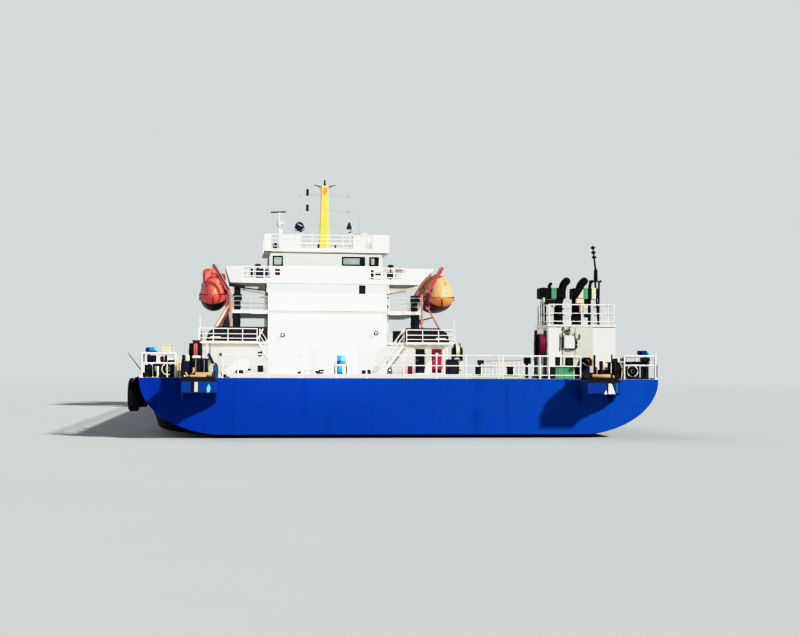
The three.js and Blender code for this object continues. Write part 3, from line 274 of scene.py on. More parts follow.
def rope(name, code, pitch=0.03):
    """Laid rope: strands from a wave across the lay, and a soft fuzz."""
    tree = Tree(name)
    colour = rgb(code)
    inputs = {"Vector": tree.where, "Scale": 1 / pitch / 6, "Distortion": 1.5, "Detail": 2.0}
    wave = tree.make("ShaderNodeTexWave", inputs, bands_direction="DIAGONAL").outputs[1]
    fuzz = tree.noise(60.0, 4.0)
    skin = tree.mix(wave, tone(colour, 0.45), tone(colour, 1.15))
    skin = tree.mix(tree.math("MULTIPLY", fuzz, 0.35), skin, tone(colour, 0.6))
    tree.finish(skin, 0.9, tree.bump(tree.math("ADD", wave, fuzz), 0.004, 0.8))


def glass(name, code):
    """Pane seen from outside: a pale reflection that clouds over."""
    tree = Tree(name)
    colour = rgb(code)
    cloud = tree.noise(2.2, 3.0)
    skin = tree.mix(tree.remap(cloud, 0.35, 0.65), tone(colour, 0.8), tone(colour, 1.1))
    tree.shader.inputs["Coat Weight"].default_value = 0.4
    tree.finish(skin, tree.remap(tree.noise(20.0), 0.3, 0.7, 0.04, 0.14), tree.bump(cloud, 0.003, 0.4))


# The hull's dark band low down is waterline paint, raised on its sides into painted shade under the transom's
# curved bilge.
paint("hull", "#003093", 0.6, mottle=0.06, streak=("#001c6c", 0.45), chips=("#3a5a9a", 0.15),
      seams=("wall", 3.1, 0.9), buckle=0.02, waterline_band_and_shade=(1.18, 1.372, "#040820"),
      grade=(-5.8, 5.8, 0.85, "#0047a1"), gloss=0.06)
paint("sponson", "#043683", 0.5, mottle=0.12, streak=("#03206a", 0.4), chips=("#5f83b4", 0.3), gloss=0.1)
paint("deck", "#c8c7bd", 0.85, mottle=0.14, streak=("#7a5a40", 0.3), chips=("#7a5640", 0.4),
      seams=("deck", 3.0, 1.2), grain=0.004)
paint("upper_deck", "#66806c", 0.85, mottle=0.14, chips=("#6e5a48", 0.4), seams=("deck", 1.8, 1.1),
      grain=0.004)
paint("white", "#dbd8d1", 0.5, mottle=0.03, streak=("#b39a78", 0.12), buckle=0.004)
paint("wall", "#efede6", 0.5, mottle=0.03, streak=("#b9a68a", 0.14), seams=("wall", 1.35, 1.22), buckle=0.006)
paint("rail", "#e4e2dc", 0.45, mottle=0.05, chips=("#9a7a60", 0.15))
# Grey of the port wing's end panel: white in painted shade.
paint("white_in_painted_shade", "#b4b4b1", 0.5, mottle=0.05, streak=("#8a8680", 0.2), buckle=0.004)
paint("casing", "#b6b8ae", 0.55, mottle=0.06, streak=("#857a66", 0.4), chips=("#8a745a", 0.15),
      seams=("wall", 0.8, 0.65), buckle=0.006)
paint("black", "#111018", 0.6, mottle=0.3, streak=("#3a2420", 0.2), chips=("#4a342c", 0.15), gloss=0.15)
paint("soot", "#0b0a10", 0.8, mottle=0.4, streak=("#2c2220", 0.25), gloss=0.1)
paint("machine", "#12121d", 0.55, mottle=0.35, streak=("#452c24", 0.3), chips=("#54402f", 0.2), gloss=0.15)
paint("navy", "#090d30", 0.6, mottle=0.3, streak=("#182460", 0.3), gloss=0.15)
paint("steel", "#8b8f92", 0.45, metal=0.5, mottle=0.2, chips=("#6a4634", 0.4))
paint("rust", "#6d3a24", 0.85, mottle=0.35, chips=("#2f1a12", 0.6), grain=0.004)
paint("maroon", "#3c1030", 0.6, mottle=0.3, streak=("#1c0a20", 0.3), gloss=0.15)
paint("red", "#84163a", 0.55, mottle=0.2, streak=("#3c0a14", 0.4), chips=("#c06a5a", 0.2), gloss=0.15)
paint("salmon", "#ac5452", 0.65, mottle=0.15, streak=("#8a2c26", 0.4), gloss=0.15)
paint("pink", "#a8625a", 0.6, mottle=0.15, streak=("#5f1f20", 0.45), chips=("#e8c8b8", 0.5), gloss=0.2)
paint("green", "#4c8c66", 0.55, mottle=0.12, streak=("#1c4a30", 0.4), chips=("#9ac0a0", 0.3), gloss=0.2)
paint("pale_green", "#c2cfa6", 0.6, mottle=0.1, streak=("#7a8458", 0.3))
paint("teal", "#1c6490", 0.5, mottle=0.25, streak=("#124070", 0.5), chips=("#bcd8e6", 0.3))
paint("sky_blue", "#1f7cc0", 0.45, mottle=0.2, streak=("#0e3f80", 0.5))
paint("cyan", "#6cc4e4", 0.45, mottle=0.15, streak=("#2a6aa0", 0.4))
paint("deep_blue", "#0e2a70", 0.5, mottle=0.25, streak=("#0a1640", 0.5), gloss=0.15)
paint("cream", "#ccc2a6", 0.65, mottle=0.1, streak=("#9a7a4c", 0.35))
paint("tan", "#b0906a", 0.8, mottle=0.15, streak=("#6e4a2c", 0.4), chips=("#5a3a24", 0.4), grain=0.004)
paint("yellow", "#ccb64c", 0.5, mottle=0.05, streak=("#d48a2c", 0.3), chips=("#b0562a", 0.1))
paint("orange_paint", "#c07a26", 0.5, mottle=0.14, streak=("#8a3a18", 0.4))
# The edge of a lifeboat's dark bottom rises this much with the square of the distance from its lowest place
KEEL_RISE = 0.8
paint("forecastle", "#0030a0", 0.6, mottle=0.1, streak=("#001c6c", 0.45), grain=0.004,
      floor=((FORE_DECK + DEPTH) * SCALE, "#4d7a66"), gloss=0.06)
# Per boat: the canopy grows darker towards its outboard side, painted shade that is strong on the port boat;
# the dark bottom is bottom paint and painted shade.
for side, s, top, blot, low, keel, blots, out, up, outer in (
        ("port", -1, "#b85c46", "#8c1030", "#b84a40", "#14050e", (1.7, 0.48, 0.54), 0.05, 0.38, "#a02440"),
        ("starboard", 1, "#c8946a", "#a84a30", "#c07844", "#5a0c1a", (3.2, 0.6, 0.66), 0.1, 0.38, "#c89868")):
    bottom = (s * (BOAT_X + out) * SCALE, (KEEL + up + DEPTH) * SCALE, keel)
    shade = (s * (BOAT_X - 0.4) * SCALE, s * (BOAT_X + 1.1) * SCALE, 0.7, outer)
    paint(f"boat_{side}", top, 0.45, mottle=0.08, grade=shade, patch=(blot, *blots), streak=(blot, 0.3),
          buckle=0.01)
    paint(f"boat_low_{side}", low, 0.45, mottle=0.08, keel=bottom)
paint("rubber", "#101013", 0.85, mottle=0.35, chips=("#3c3a38", 0.3), grain=0.004, gloss=0.2)
paint("bottom", "#1a1114", 0.7, mottle=0.3, streak=("#3a2420", 0.3))
paint("bronze", "#a5803c", 0.32, metal=0.9, mottle=0.2)
paint("lamp", "#dcdfd8", 0.2, mottle=0.2)
rope("rope_tan", "#c8a878")
rope("rope_grey", "#8f8a80")
glass("pane", "#c0cfc4")
glass("dark_pane", "#1c262e")


def make_floor():
    """A pale floor at the waterline, which fades to the backdrop's tone far away."""
    tree = Tree("floor")
    colour = rgb("#a9adac")
    cloud = tree.noise(0.15, 4.0)
    tree.finish(tree.mix(cloud, tone(colour, 0.96), tone(colour, 1.03)), 0.9,
                tree.bump(tree.noise(4.0), 0.002, 0.2))
    far = tree.make("ShaderNodeVectorMath", {0: tree.where}, operation="LENGTH").outputs["Value"]
    glow = tree.make("ShaderNodeEmission", {"Color": SKY, "Strength": SKY_LEVEL}).outputs[0]
    share = tree.remap(far, 30.0, 150.0)
    blend = tree.make("ShaderNodeMixShader", {0: share, 1: tree.shader.outputs[0], 2: glow})
    tree.links.new(blend.outputs[0], tree.nodes["Material Output"].inputs["Surface"])
    mesh = bpy.data.meshes.new("floor")
    reach, steps = 3000, 96
    turns = [k * math.tau / steps for k in range(steps)]
    level = WATERLINE * SCALE
    ring = [(reach * math.cos(a), reach * math.sin(a), level) for a in turns]
    mesh.from_pydata(ring, [], [list(range(steps))])
    mesh.materials.append(tree.material)
    floor = bpy.data.objects.new("floor", mesh)
    bpy.context.scene.collection.objects.link(floor)


make_floor()


# Meshes

def spline(points, steps, closed=False):
    """Smooth curve through the points."""
    points = [Vector(p) for p in points]
    count = len(points)
    result = []
    for i in range(count if closed else count - 1):
        p0 = points[i - 1] if closed or i > 0 else points[0]
        p1, p2 = points[i], points[(i + 1) % count]
        p3 = points[(i + 2) % count] if closed or i + 2 < count else points[-1]
        for k in range(steps):
            u = k / steps
            result.append(0.5 * ((2 * p1) + (p2 - p0) * u + (2 * p0 - 5 * p1 + 4 * p2 - p3) * u * u
                                 + (3 * p1 - p0 - 3 * p2 + p3) * u ** 3))
    return result if closed else result + [points[-1]]


def inset(outline, by):
    """Outline moved inwards by a distance."""
    count = len(outline)
    ends = [(outline[i], outline[(i + 1) % count]) for i in range(count)]
    turn = 1 if sum(a[0] * b[1] - b[0] * a[1] for a, b in ends) > 0 else -1
    result = []
    for i in range(count):
        p = Vector(outline[i])
        back = (p - Vector(outline[i - 1])).normalized()
        on = (Vector(outline[(i + 1) % count]) - p).normalized()
        both = turn * Vector((-back.y - on.y, back.x + on.x))
        result.append(tuple(p + both * (2 * by / max(0.3, both.length_squared))))
    return result


PLACES = {
    "x": lambda a, b, d: (d, a, b),
    "t": lambda a, b, d: (a, d, b),
    "h": lambda a, b, d: (a, b, d),
}


class Shape:
    """Closed solids at full size, each face with its paint. Side -1 mirrors them to port."""

    def __init__(self, side=1, paint="white"):
        self.side, self.paint = side, paint
        self.points, self.faces, self.paints = [], [], []

    def add(self, points, faces):
        first = len(self.points)
        self.points += [(self.side * p[0], p[1], p[2]) for p in points]
        self.faces += [[first + i for i in face] for face in faces]
        self.paints += [self.paint] * len(faces)
        return self

    def use(self, paint):
        self.paint = paint
        return self

    def box(self, x, t, h, soft=0.012):
        low, high = zip(*(sorted(pair) for pair in (x, t, h)))
        soft = min([soft] + [(b - a) * 0.4 for a, b in zip(low, high)])
        points, index = [], {}
        corners = list(itertools.product((0, 1), repeat=3))
        for corner in corners:
            for axis in range(3):
                index[corner, axis] = len(points)
                points.append([(high[k] if corner[k] else low[k]) + (k != axis) * soft * (1 - 2 * corner[k])
                               for k in range(3)])
        faces = [[index[corner, k] for k in range(3)] for corner in corners]
        for axis in range(3):
            a, b = [k for k in range(3) if k != axis]

            def corner(i, j, k):
                place = [0, 0, 0]
                place[axis], place[a], place[b] = k, i, j
                return tuple(place)

            for k in (0, 1):
                faces.append([index[corner(i, j, k), axis] for i, j in ((0, 0), (1, 0), (1, 1), (0, 1))])
            for i, j in itertools.product((0, 1), repeat=2):
                near, far = corner(i, j, 0), corner(i, j, 1)
                faces.append([index[near, a], index[far, a], index[far, b], index[near, b]])
        return self.add(points, faces)

    def blocks(self, rows, t, base=0.0, soft=0.02):
        """Small boxes from rows of (x0, x1, h0, h1, paint)."""
        for x0, x1, h0, h1, colour in rows:
            self.use(colour).box((x0, x1), t, (base + h0, base + h1), soft)
        return self

    def loft(self, rings, closed=False):
        count = len(rings[0])
        points = [p for ring in rings for p in ring]
        faces = []
        for r in range(len(rings) if closed else len(rings) - 1):
            s = (r + 1) % len(rings)
            for i in range(count):
                j = (i + 1) % count
                faces.append([r * count + i, r * count + j, s * count + j, s * count + i])
        if not closed:
            faces += [list(range(count)), list(range(len(points) - count, len(points)))]
        return self.add(points, faces)

    def prism(self, outline, axis, low, high, soft=0.012, top=None):
        """Outline in the other two axes, run from low to high. top is the paint of its high face."""
        low, high = sorted((low, high))
        put = PLACES[axis]
        inner = inset(outline, soft) if soft else outline
        levels = [(low, inner), (low + soft, outline), (high - soft, outline), (high, inner)]
        if not soft:
            levels = levels[::3]
        self.loft([[put(a, b, d) for a, b in ring] for d, ring in levels])
        if top:
            self.paints[-1] = top
        return self

    def tube(self, points, radius, sides=8, steps=0, closed=False):
        points = spline(points, steps, closed) if steps else [Vector(p) for p in points]
        count = len(points)
        first, last = radius if isinstance(radius, (list, tuple)) else (radius, radius)
        rings, side = [], None
        for i, p in enumerate(points):
            ahead = points[(i + 1) % count] if closed or i + 1 < count else p
            behind = points[i - 1] if closed or i > 0 else p
            way = (ahead - behind).normalized()
            if side is None:
                side = way.cross(Vector((0, 0, 1)))
                if side.length < 0.05:
                    side = way.cross(Vector((0, 1, 0)))
            side = (side - way * side.dot(way)).normalized()
            up = side.cross(way)
            r = first + (last - first) * i / max(1, count - 1)
            turns = [(k + 0.5) * math.tau / sides for k in range(sides)]
            rings.append([p + (side * math.cos(a) + up * math.sin(a)) * r for a in turns])
        return self.loft(rings, closed)

    def turned(self, profile, axis, centre, segments=24):
        """Profile of (radius, distance) turned about a line through the centre."""
        closed = profile[0] == profile[-1]
        rings, points = [], []
        for r, d in profile[:-1] if closed else profile:
            start = len(points)
            count = segments if r > 1e-6 else 1
            for k in range(count):
                turn = k * math.tau / segments
                place = PLACES[axis](r * math.cos(turn), r * math.sin(turn), d)
                points.append([a + b for a, b in zip(place, centre)])
            rings.append(range(start, start + count))
        faces = []
        for one, two in list(zip(rings, rings[1:])) + ([(rings[-1], rings[0])] if closed else []):
            for i in range(segments):
                j = (i + 1) % segments
                face = [one[i % len(one)], one[j % len(one)], two[j % len(two)], two[i % len(two)]]
                face = list(dict.fromkeys(face))
                if len(face) > 2:
                    faces.append(face)
        if not closed:
            faces += [list(ring) for ring in (rings[0], rings[-1]) if len(ring) > 1]
        return self.add(points, faces)

    def bar(self, a, b, wide, deep=None, soft=0.01):
        """Flat or square bar between two points, deep towards the top."""
        deep = wide if deep is None else deep
        a, b = Vector(a), Vector(b)
        way = (b - a).normalized()
        up = Vector((0, 1, 0)) if abs(way.z) > 0.99 else Vector((0, 0, 1))
        across = way.cross(up).normalized()
        up = across.cross(way)
        solid = Shape().box((-wide / 2, wide / 2), (0, (b - a).length), (-deep / 2, deep / 2), soft)
        return self.add([a + across * x + way * y + up * z for x, y, z in solid.points], solid.faces)

    def ball(self, centre, radius, axis="h", segments=16, flat=1.0):
        steps = segments // 2
        turns = [math.pi * i / steps for i in range(steps + 1)]
        profile = [(radius * math.sin(a), -radius * flat * math.cos(a)) for a in turns]
        profile[0], profile[-1] = (0, -radius * flat), (0, radius * flat)
        return self.turned(profile, axis, centre, segments)

    def disc(self, centre, radius, thick, axis="t", segments=24, soft=0.01):
        """Round plate or drum about its centre, with softened rims."""
        half = thick / 2
        soft = min(soft, half * 0.8, radius * 0.5)
        rim = [(radius - soft, -half), (radius, -half + soft), (radius, half - soft), (radius - soft, half)]
        return self.turned([(0, -half)] + rim + [(0, half)], axis, centre, segments)

    def post(self, x, t, h0, h1, radius, sides=14):
        return self.disc((x, t, (h0 + h1) / 2), radius, h1 - h0, "h", sides, radius * 0.3)

    def ring(self, centre, radius, width, thick, axis="t", segments=24):
        """Flat ring, proud of its centre on both sides by half its thickness."""
        a, b, c = radius - width, radius, thick / 2
        return self.turned([(a, -c), (b, -c), (b, c), (a, c), (a, -c)], axis, centre, segments)


def circle(count):
    """Cosine and sine of evenly spaced turns."""
    return [(math.cos(k * math.tau / count), math.sin(k * math.tau / count)) for k in range(count)]


def piece(name, shape, instead=(), body="root", angle=35):
    mesh = bpy.data.meshes.new(name)
    mesh.from_pydata([at(*p) for p in shape.points], [], shape.faces)
    used = list(dict.fromkeys(shape.paints))
    for key in used:
        mesh.materials.append(PAINTS[key])
    mesh.polygons.foreach_set("material_index", [used.index(key) for key in shape.paints])
    work = bmesh.new()
    work.from_mesh(mesh)
    bmesh.ops.recalc_face_normals(work, faces=work.faces)
    work.to_mesh(mesh)
    work.free()
    mesh.polygons.foreach_set("use_smooth", [True] * len(mesh.polygons))
    mesh.set_sharp_from_angle(angle=math.radians(angle))
    thing = bpy.data.objects.new(name, mesh)
    bpy.context.scene.collection.objects.link(thing)
    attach(thing, body)
    if instead:
        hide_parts(instead)


def dress(name, paint_name):
    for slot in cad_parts[name].material_slots:
        slot.material = PAINTS[paint_name]


def railing(shape, legs, h, pitch, courses=(0.36, 0.7, 1.05), bar=0.026, post=0.03):
    """Pipe railing along legs of (x, t), with a foot plate under each stanchion."""
    for n, ((x0, t0), (x1, t1)) in enumerate(zip(legs, legs[1:])):
        bays = max(1, round(math.hypot(x1 - x0, t1 - t0) / pitch))
        for course in courses:
            shape.tube([(x0, t0, h + course), (x1, t1, h + course)],
                       bar * (1.25 if course == courses[-1] else 1))
        for k in range(0 if n == 0 else 1, bays + 1):
            x, t = x0 + (x1 - x0) * k / bays, t0 + (t1 - t0) * k / bays
            shape.tube([(x, t, h - 0.01), (x, t, h + courses[-1])], post)
            shape.box((x - 0.06, x + 0.06), (t - 0.06, t + 0.06), (h - 0.01, h + 0.015), 0.005)


# Hull

# t, half-breadth at the deck and at the bilge, height of the bottom, bilge width and height
SECTIONS = [
    (0, 11.5, 11.5, 2.3, 3.9, 2.45),
    (5, 11.5, 11.5, 2.0, 3.8, 2.5),
    (10, 11.5, 11.5, 1.0, 3.0, 3.0),
    (16, 11.5, 11.5, 0, 2.6, 3.0),
    (24, 11.5, 11.5, 0, 1.2, 1.2),
    (52, 11.5, 11.5, 0, 1.2, 1.2),
    (58, 11.0, 10.5, 0, 1.6, 1.4),
    (62, 9.8, 8.6, 0.2, 2.0, 1.6),
    (65, 7.7, 5.9, 1.0, 2.2, 1.6),
    (67.2, 4.8, 2.9, 2.4, 1.6, 1.2),
    (68, 2.4, 1.2, 3.7, 0.8, 0.6),
]
STATIONS = (1.5, 3, 5, 6.5, 8, 10, 12, 14, 16, 20, 24, 32, 42, 52, 54, 56, 58, 60, 61, 62, 63, 64, 65, 66,
            66.7, 67.2, 67.6, 68)
BILGE_STEPS = 22
ROUNDING = 0.03


def section(t, inwards=0.0):
    """Starboard half of the hull's section, from the deck's edge to the bottom."""
    for low, high in zip(SECTIONS, SECTIONS[1:]):
        if t <= high[0]:
            break
    share = (t - low[0]) / (high[0] - low[0])
    deck, side, bottom, bilge_x, bilge_z = [a + (b - a) * share for a, b in zip(low[1:], high[1:])]
    half = [(deck - inwards, DEPTH - inwards)]
    for i in range(BILGE_STEPS + 1):
        turn = math.pi / 2 * i / BILGE_STEPS
        x = side - bilge_x * (1 - math.cos(turn)) - inwards * math.cos(turn)
        half.append((x, bottom + bilge_z * (1 - math.sin(turn)) + inwards * math.sin(turn)))
    return half


def hull():
    shape = Shape(paint="hull")
    rings = []
    for t, inwards in [(0, ROUNDING), (ROUNDING, 0)] + [(t, 0) for t in STATIONS]:
        half = section(t, inwards)
        starboard = [(x, t, z - DEPTH) for x, z in half]
        rings.append(starboard + [(-x, t, h) for x, t, h in reversed(starboard)])
    shape.loft(rings)
    count = len(rings[0])
    for r in range(1, len(rings) - 1):
        shape.paints[r * count + count - 1] = "deck"
    return shape


piece("hull_shell", hull(), "hull", angle=28)

# Scuppers and weld marks on the transom, and the deck's flat-bar edge
trim = Shape().blocks([(x - 0.07, x + 0.07, -0.1, -0.06, "black") for x in (-6.4, -3.1, 0.2, 3.6, 4.9, 6.9)],
                      (-0.012, 0.04))
trim.blocks([(x - 0.012, x + 0.012, -2.3, -0.12, "hull") for x in (-7.4, -4.4, -1.4, 1.6, 4.6, 7.6)],
            (-0.006, 0.02), soft=0.004)
trim.blocks([(a, b, -0.05, 0.0, "black") for a, b in ((-0.15, 0.08), (0.48, 0.8), (3.05, 3.21))],
            (-0.012, 0.04))
trim.blocks([(-11.3, 11.3, -0.012, 0.014, "steel")], (0.05, 0.11), soft=0.004)
piece("transom_trim", trim)

for side, s in SIDES:
    edge = Shape(s, "rail").box((11.36, 11.48), (0.05, 57.5), (-0.005, 0.07))
    edge.use("deck")
    for t in range(3, 57, 6):
        edge.box((11.1, 11.34), (t, t + 0.3), (-0.005, 0.1))
    piece(f"deck_edge_{side}", edge)

SPONSONS = {"port": (-9.67, -8.18), "starboard": (7.8, 9.3)}
KNEE = [(-0.001, -0.6), (-0.001, -1.05), (-0.25, -1.05), (-1.1, -0.63)]
SPONSON_MARKS = {
    "port": [(-9.1, -8.96, -0.58, -0.17, "cream"), (-9.24, -9.1, -0.58, -0.17, "navy")],
    "starboard": [(9.1, 9.16, -0.58, -0.17, "teal")],
}
SPONSON_STAINS = {
    "port": [("cyan", [(-8.5, -0.24), (-8.42, -0.42), (-8.47, -0.6), (-8.57, -0.6), (-8.59, -0.42)])],
    "starboard": [
        ("black", [(8.7, -0.15), (8.95, -0.15), (9.13, -0.645), (8.7, -0.645)]),
        ("rail", [(8.75, -0.18), (8.9, -0.18), (9.06, -0.63), (8.75, -0.63)]),
        ("rail", [(8.56, -0.64), (8.7, -0.64), (8.64, -0.45)]),
    ],
}


def sponson(side):
    x0, x1 = SPONSONS[side]
    shape = Shape(paint="sponson").box((x0, x1), (-1.48, -0.001), (-0.65, -0.03), 0.03)
    for x in (x0, x1 - 0.1):
        shape.prism(KNEE, "x", x, x + 0.1)
    # Black strip along the face's top, and a navy strip along its lower edge that is painted shade, where the
    # shadow under the sponson begins
    shape.blocks([(x0, x1, -0.15, -0.025, "black"), (x0, x1, -0.65, -0.6, "navy")], (-1.49, -1.4), soft=0.01)
    shape.blocks(SPONSON_MARKS[side], (-1.492, -1.46), soft=0.004)
    for n, (colour, outline) in enumerate(SPONSON_STAINS[side]):
        shape.use(colour).prism(outline, "t", -1.493 - 0.003 * n, -1.46, 0.002)
    return shape


ROLLERS = {
    "port": [(-9.09, -8.38, 0.14, 0.105), (-9.3, -8.6, 0.06, 0.07)],
    "starboard": [(8.09, 8.93, 0.14, 0.095), (9.01, 9.27, 0.1, 0.09)],
}
ROLLER_POSTS = {
    "port": [(-9.13, 0.8, 0.075, "black"), (-8.97, 0.8, 0.07, "black"), (-8.79, 0.8, 0.065, "black"),
             (-8.61, 0.8, 0.07, "black"), (-9.06, 0.79, 0.018, "steel"), (-8.9, 0.79, 0.018, "maroon"),
             (-8.71, 0.79, 0.016, "steel"), (-8.5, 0.5, 0.022, "pale_green")],
    "starboard": [(8.3, 1.08, 0.05, "black"), (8.4, 0.55, 0.05, "pink"), (8.6, 0.81, 0.08, "black"),
                  (9.09, 1.1, 0.035, "black"), (9.2, 0.82, 0.09, "black"), (9.02, 0.74, 0.02, "rail"),
                  (8.99, 0.6, 0.07, "black")],
}
FAIRLEAD_BLOCKS = {
    "port": [(-9.22, -8.87, 0.83, 0.94, "rail"), (-9.24, -8.5, 0.76, 0.83, "machine"),
             (-9.2, -8.52, 0.22, 0.32, "machine"), (-9.62, -9.16, 0.12, 0.72, "navy"),
             (-9.64, -9.52, 0.72, 0.98, "machine"), (-9.5, -9.34, 0.7, 0.98, "pale_green"),
             (-9.14, -8.56, 0.0, 0.78, "black"), (-9.66, -9.6, 0.0, 0.8, "black")],
    "starboard": [(8.51, 8.95, 0.26, 0.42, "machine"), (8.68, 8.93, 0.4, 0.73, "cream"),
                  (8.94, 9.25, 0.2, 0.77, "machine"), (7.85, 8.9, 0.0, 0.3, "black")],
}


def fairlead(side):
    """Roller fairlead: level rollers between cheeks, upright rollers with pale guides, and boxes behind."""
    x0, x1 = SPONSONS[side]
    shape = Shape(paint="machine").box((x0 + 0.05, x1 - 0.05), (-1.38, -0.2), (-0.03, 0.05))
    for n, (a, b, h, r) in enumerate(ROLLERS[side]):
        t = -1.15 - 0.14 * n if side == "port" else -1.15
        shape.use("tan").turned([(0, a), (r * 0.8, a), (r, a + 0.03), (r * 0.9, (a + b) / 2), (r, b - 0.03),
                                 (r * 0.8, b), (0, b)], "x", (0, t, h), 20)
        for x in (a - 0.03, b + 0.03):
            shape.use("black").disc((x, t, h), r * 1.1, 0.04, "x", 20)
    if side == "port":
        shape.use("cream").disc((ROLLERS["port"][0][1] + 0.02, -1.15, 0.14), 0.09, 0.05, "x", 18)
    for x in (x0 + 0.08, x1 - 0.08):
        cheek = [(-1.4, -0.03), (-0.5, -0.03), (-0.7, 0.3), (-1.3, 0.3)]
        shape.use("machine").prism(cheek, "x", x - 0.03, x + 0.03)
    for x, top, r, colour in ROLLER_POSTS[side]:
        t = -0.85 if r > 0.03 else -0.96
        shape.use(colour).post(x, t, 0.0, top, r)
        if r > 0.06:
            shape.use("machine").post(x, t, top - 0.1, top - 0.04, r * 1.15).post(x, t, 0.02, 0.08, r * 1.2)
    shape.blocks(FAIRLEAD_BLOCKS[side], (-0.78, -0.3), soft=0.03)
    if side == "port":
        shape.use("navy").bar((-8.55, -0.6, 1.05), (-8.33, -0.6, 0.6), 0.16, 0.12)
        shape.use("maroon").bar((-8.62, -0.7, 1.0), (-8.44, -0.7, 0.62), 0.02, 0.03)
        elbow = [(-9.15, -1.0, 0.44), (-9.16, -1.0, 0.24), (-9.25, -1.0, 0.1), (-9.4, -1.0, 0.08),
                 (-9.49, -1.0, 0.24)]
        shape.use("tan").tube(elbow, 0.05, 10, 5)
    return shape


for side, s in SIDES:
    piece(f"sponson_box_{side}", sponson(side), f"sponson_{side}")
    piece(f"fairlead_set_{side}", fairlead(side), f"fairlead_{side}")

# Winches and reels

WINCH_X = {"port": -10.35, "starboard": 10.9}
WINCH_T, WINCH_H, FLANGE, CORE, HALF = 2.6, 0.37, 0.28, 0.15, 0.42


def rope_turns(core, low, high, lay):
    """Profile of rope wound side by side on a drum."""
    count = max(1, round((high - low) / lay))
    lay = (high - low) / count
    middles = [low + (k + 0.5) * lay for k in range(count)]
    return [(core + lay * 0.5 * math.cos(a), middle + lay * 0.5 * math.sin(a))
            for middle in middles for a in (-1.45, -0.7, 0, 0.7, 1.45)]


def winch_frame(x):
    t, h = WINCH_T, WINCH_H
    shape = Shape(paint="machine").box((x - 0.42, x + 0.42), (t - 0.95, t + 1.15), (0.005, 0.07))
    stand = [(x - 0.32, 0.05), (x + 0.32, 0.05), (x + 0.14, h + 0.14), (x - 0.14, h + 0.14)]
    for face in (t - HALF - 0.16, t + HALF + 0.16):
        shape.prism(stand, "t", face - 0.05, face + 0.05, 0.01).disc((x, face, h), 0.11, 0.16, "t", 20)
    shape.box((x - 0.36, x + 0.36), (t + 0.72, t + 1.1), (0.05, 0.78), 0.04)
    for h in (0.25, 0.4, 0.55):
        shape.box((x - 0.39, x + 0.39), (t + 0.76, t + 1.06), (h, h + 0.04), 0.01)
    shape.use("black").post(x - 0.33, t - 0.85, 0.05, 0.6, 0.03)
    shape.use("steel").ball((x - 0.33, t - 0.85, 0.62), 0.045)
    return shape


def winch_drum(x):
    """Drum with rope, and a ringed brake wheel that faces aft."""
    end, rim, f, axle = HALF + 0.2, HALF - 0.05, FLANGE, 0.06
    profile = [(0, -end), (axle, -end), (axle, -HALF - 0.04), (f - 0.02, -HALF - 0.04), (f, -HALF - 0.02),
               (f, -HALF + 0.03), (f - 0.02, -rim), (CORE, -rim), (CORE, rim), (f - 0.02, rim),
               (f, HALF - 0.03), (f, HALF), (axle, HALF), (axle, end), (0, end)]
    place = (x, WINCH_T, WINCH_H)
    shape = Shape(paint="machine").turned(profile, "t", place, 36)
    turns = rope_turns(CORE + 0.05, -HALF + 0.06, HALF - 0.06, 0.07)
    rope = [(CORE - 0.01, -HALF + 0.06)] + turns + [(CORE - 0.01, HALF - 0.06)]
    shape.use("rope_grey").turned(rope, "t", place, 32)
    face = (x, WINCH_T - HALF - 0.24, WINCH_H)
    shape.use("machine").disc((x, face[1] + 0.04, WINCH_H), 0.1, 0.1, "t", 24)
    shape.use("rail").ring(face, 0.27, 0.035, 0.04, "t", 40)
    shape.use("steel").ring((x, face[1] - 0.02, WINCH_H), 0.1, 0.03, 0.04, "t", 28)
    for c, q in circle(6):
        ends = [(x + r * c, face[1], WINCH_H + r * q) for r in (0.05, 0.24)]
        shape.use("machine").bar(*ends, 0.03)
    return shape


for side, x in WINCH_X.items():
    piece(f"winch_bed_{side}", winch_frame(x), f"winch_frame_{side}")
    piece(f"winch_barrel_{side}", winch_drum(x), f"winch_drum_{side}", f"winch_drum_{side}")

# Place, reach of the two plates that carry the drum, then their thickness and top, and the drum's flange,
# half its length and the rope's paint
REELS = {
    "port": ((-9.18, 4.0, 1.15), 0.295, (0.15, 1.56), (0.55, 0.13, "salmon")),
    "starboard": ((6.93, 3.6, 1.6), 0.28, (0.11, 2.28), (0.57, 0.155, "red")),
    "forward": ((9.55, 41.6, 1.85), 0.38, (0.1, 2.1), (0.58, 0.2, "pale_green")),
}


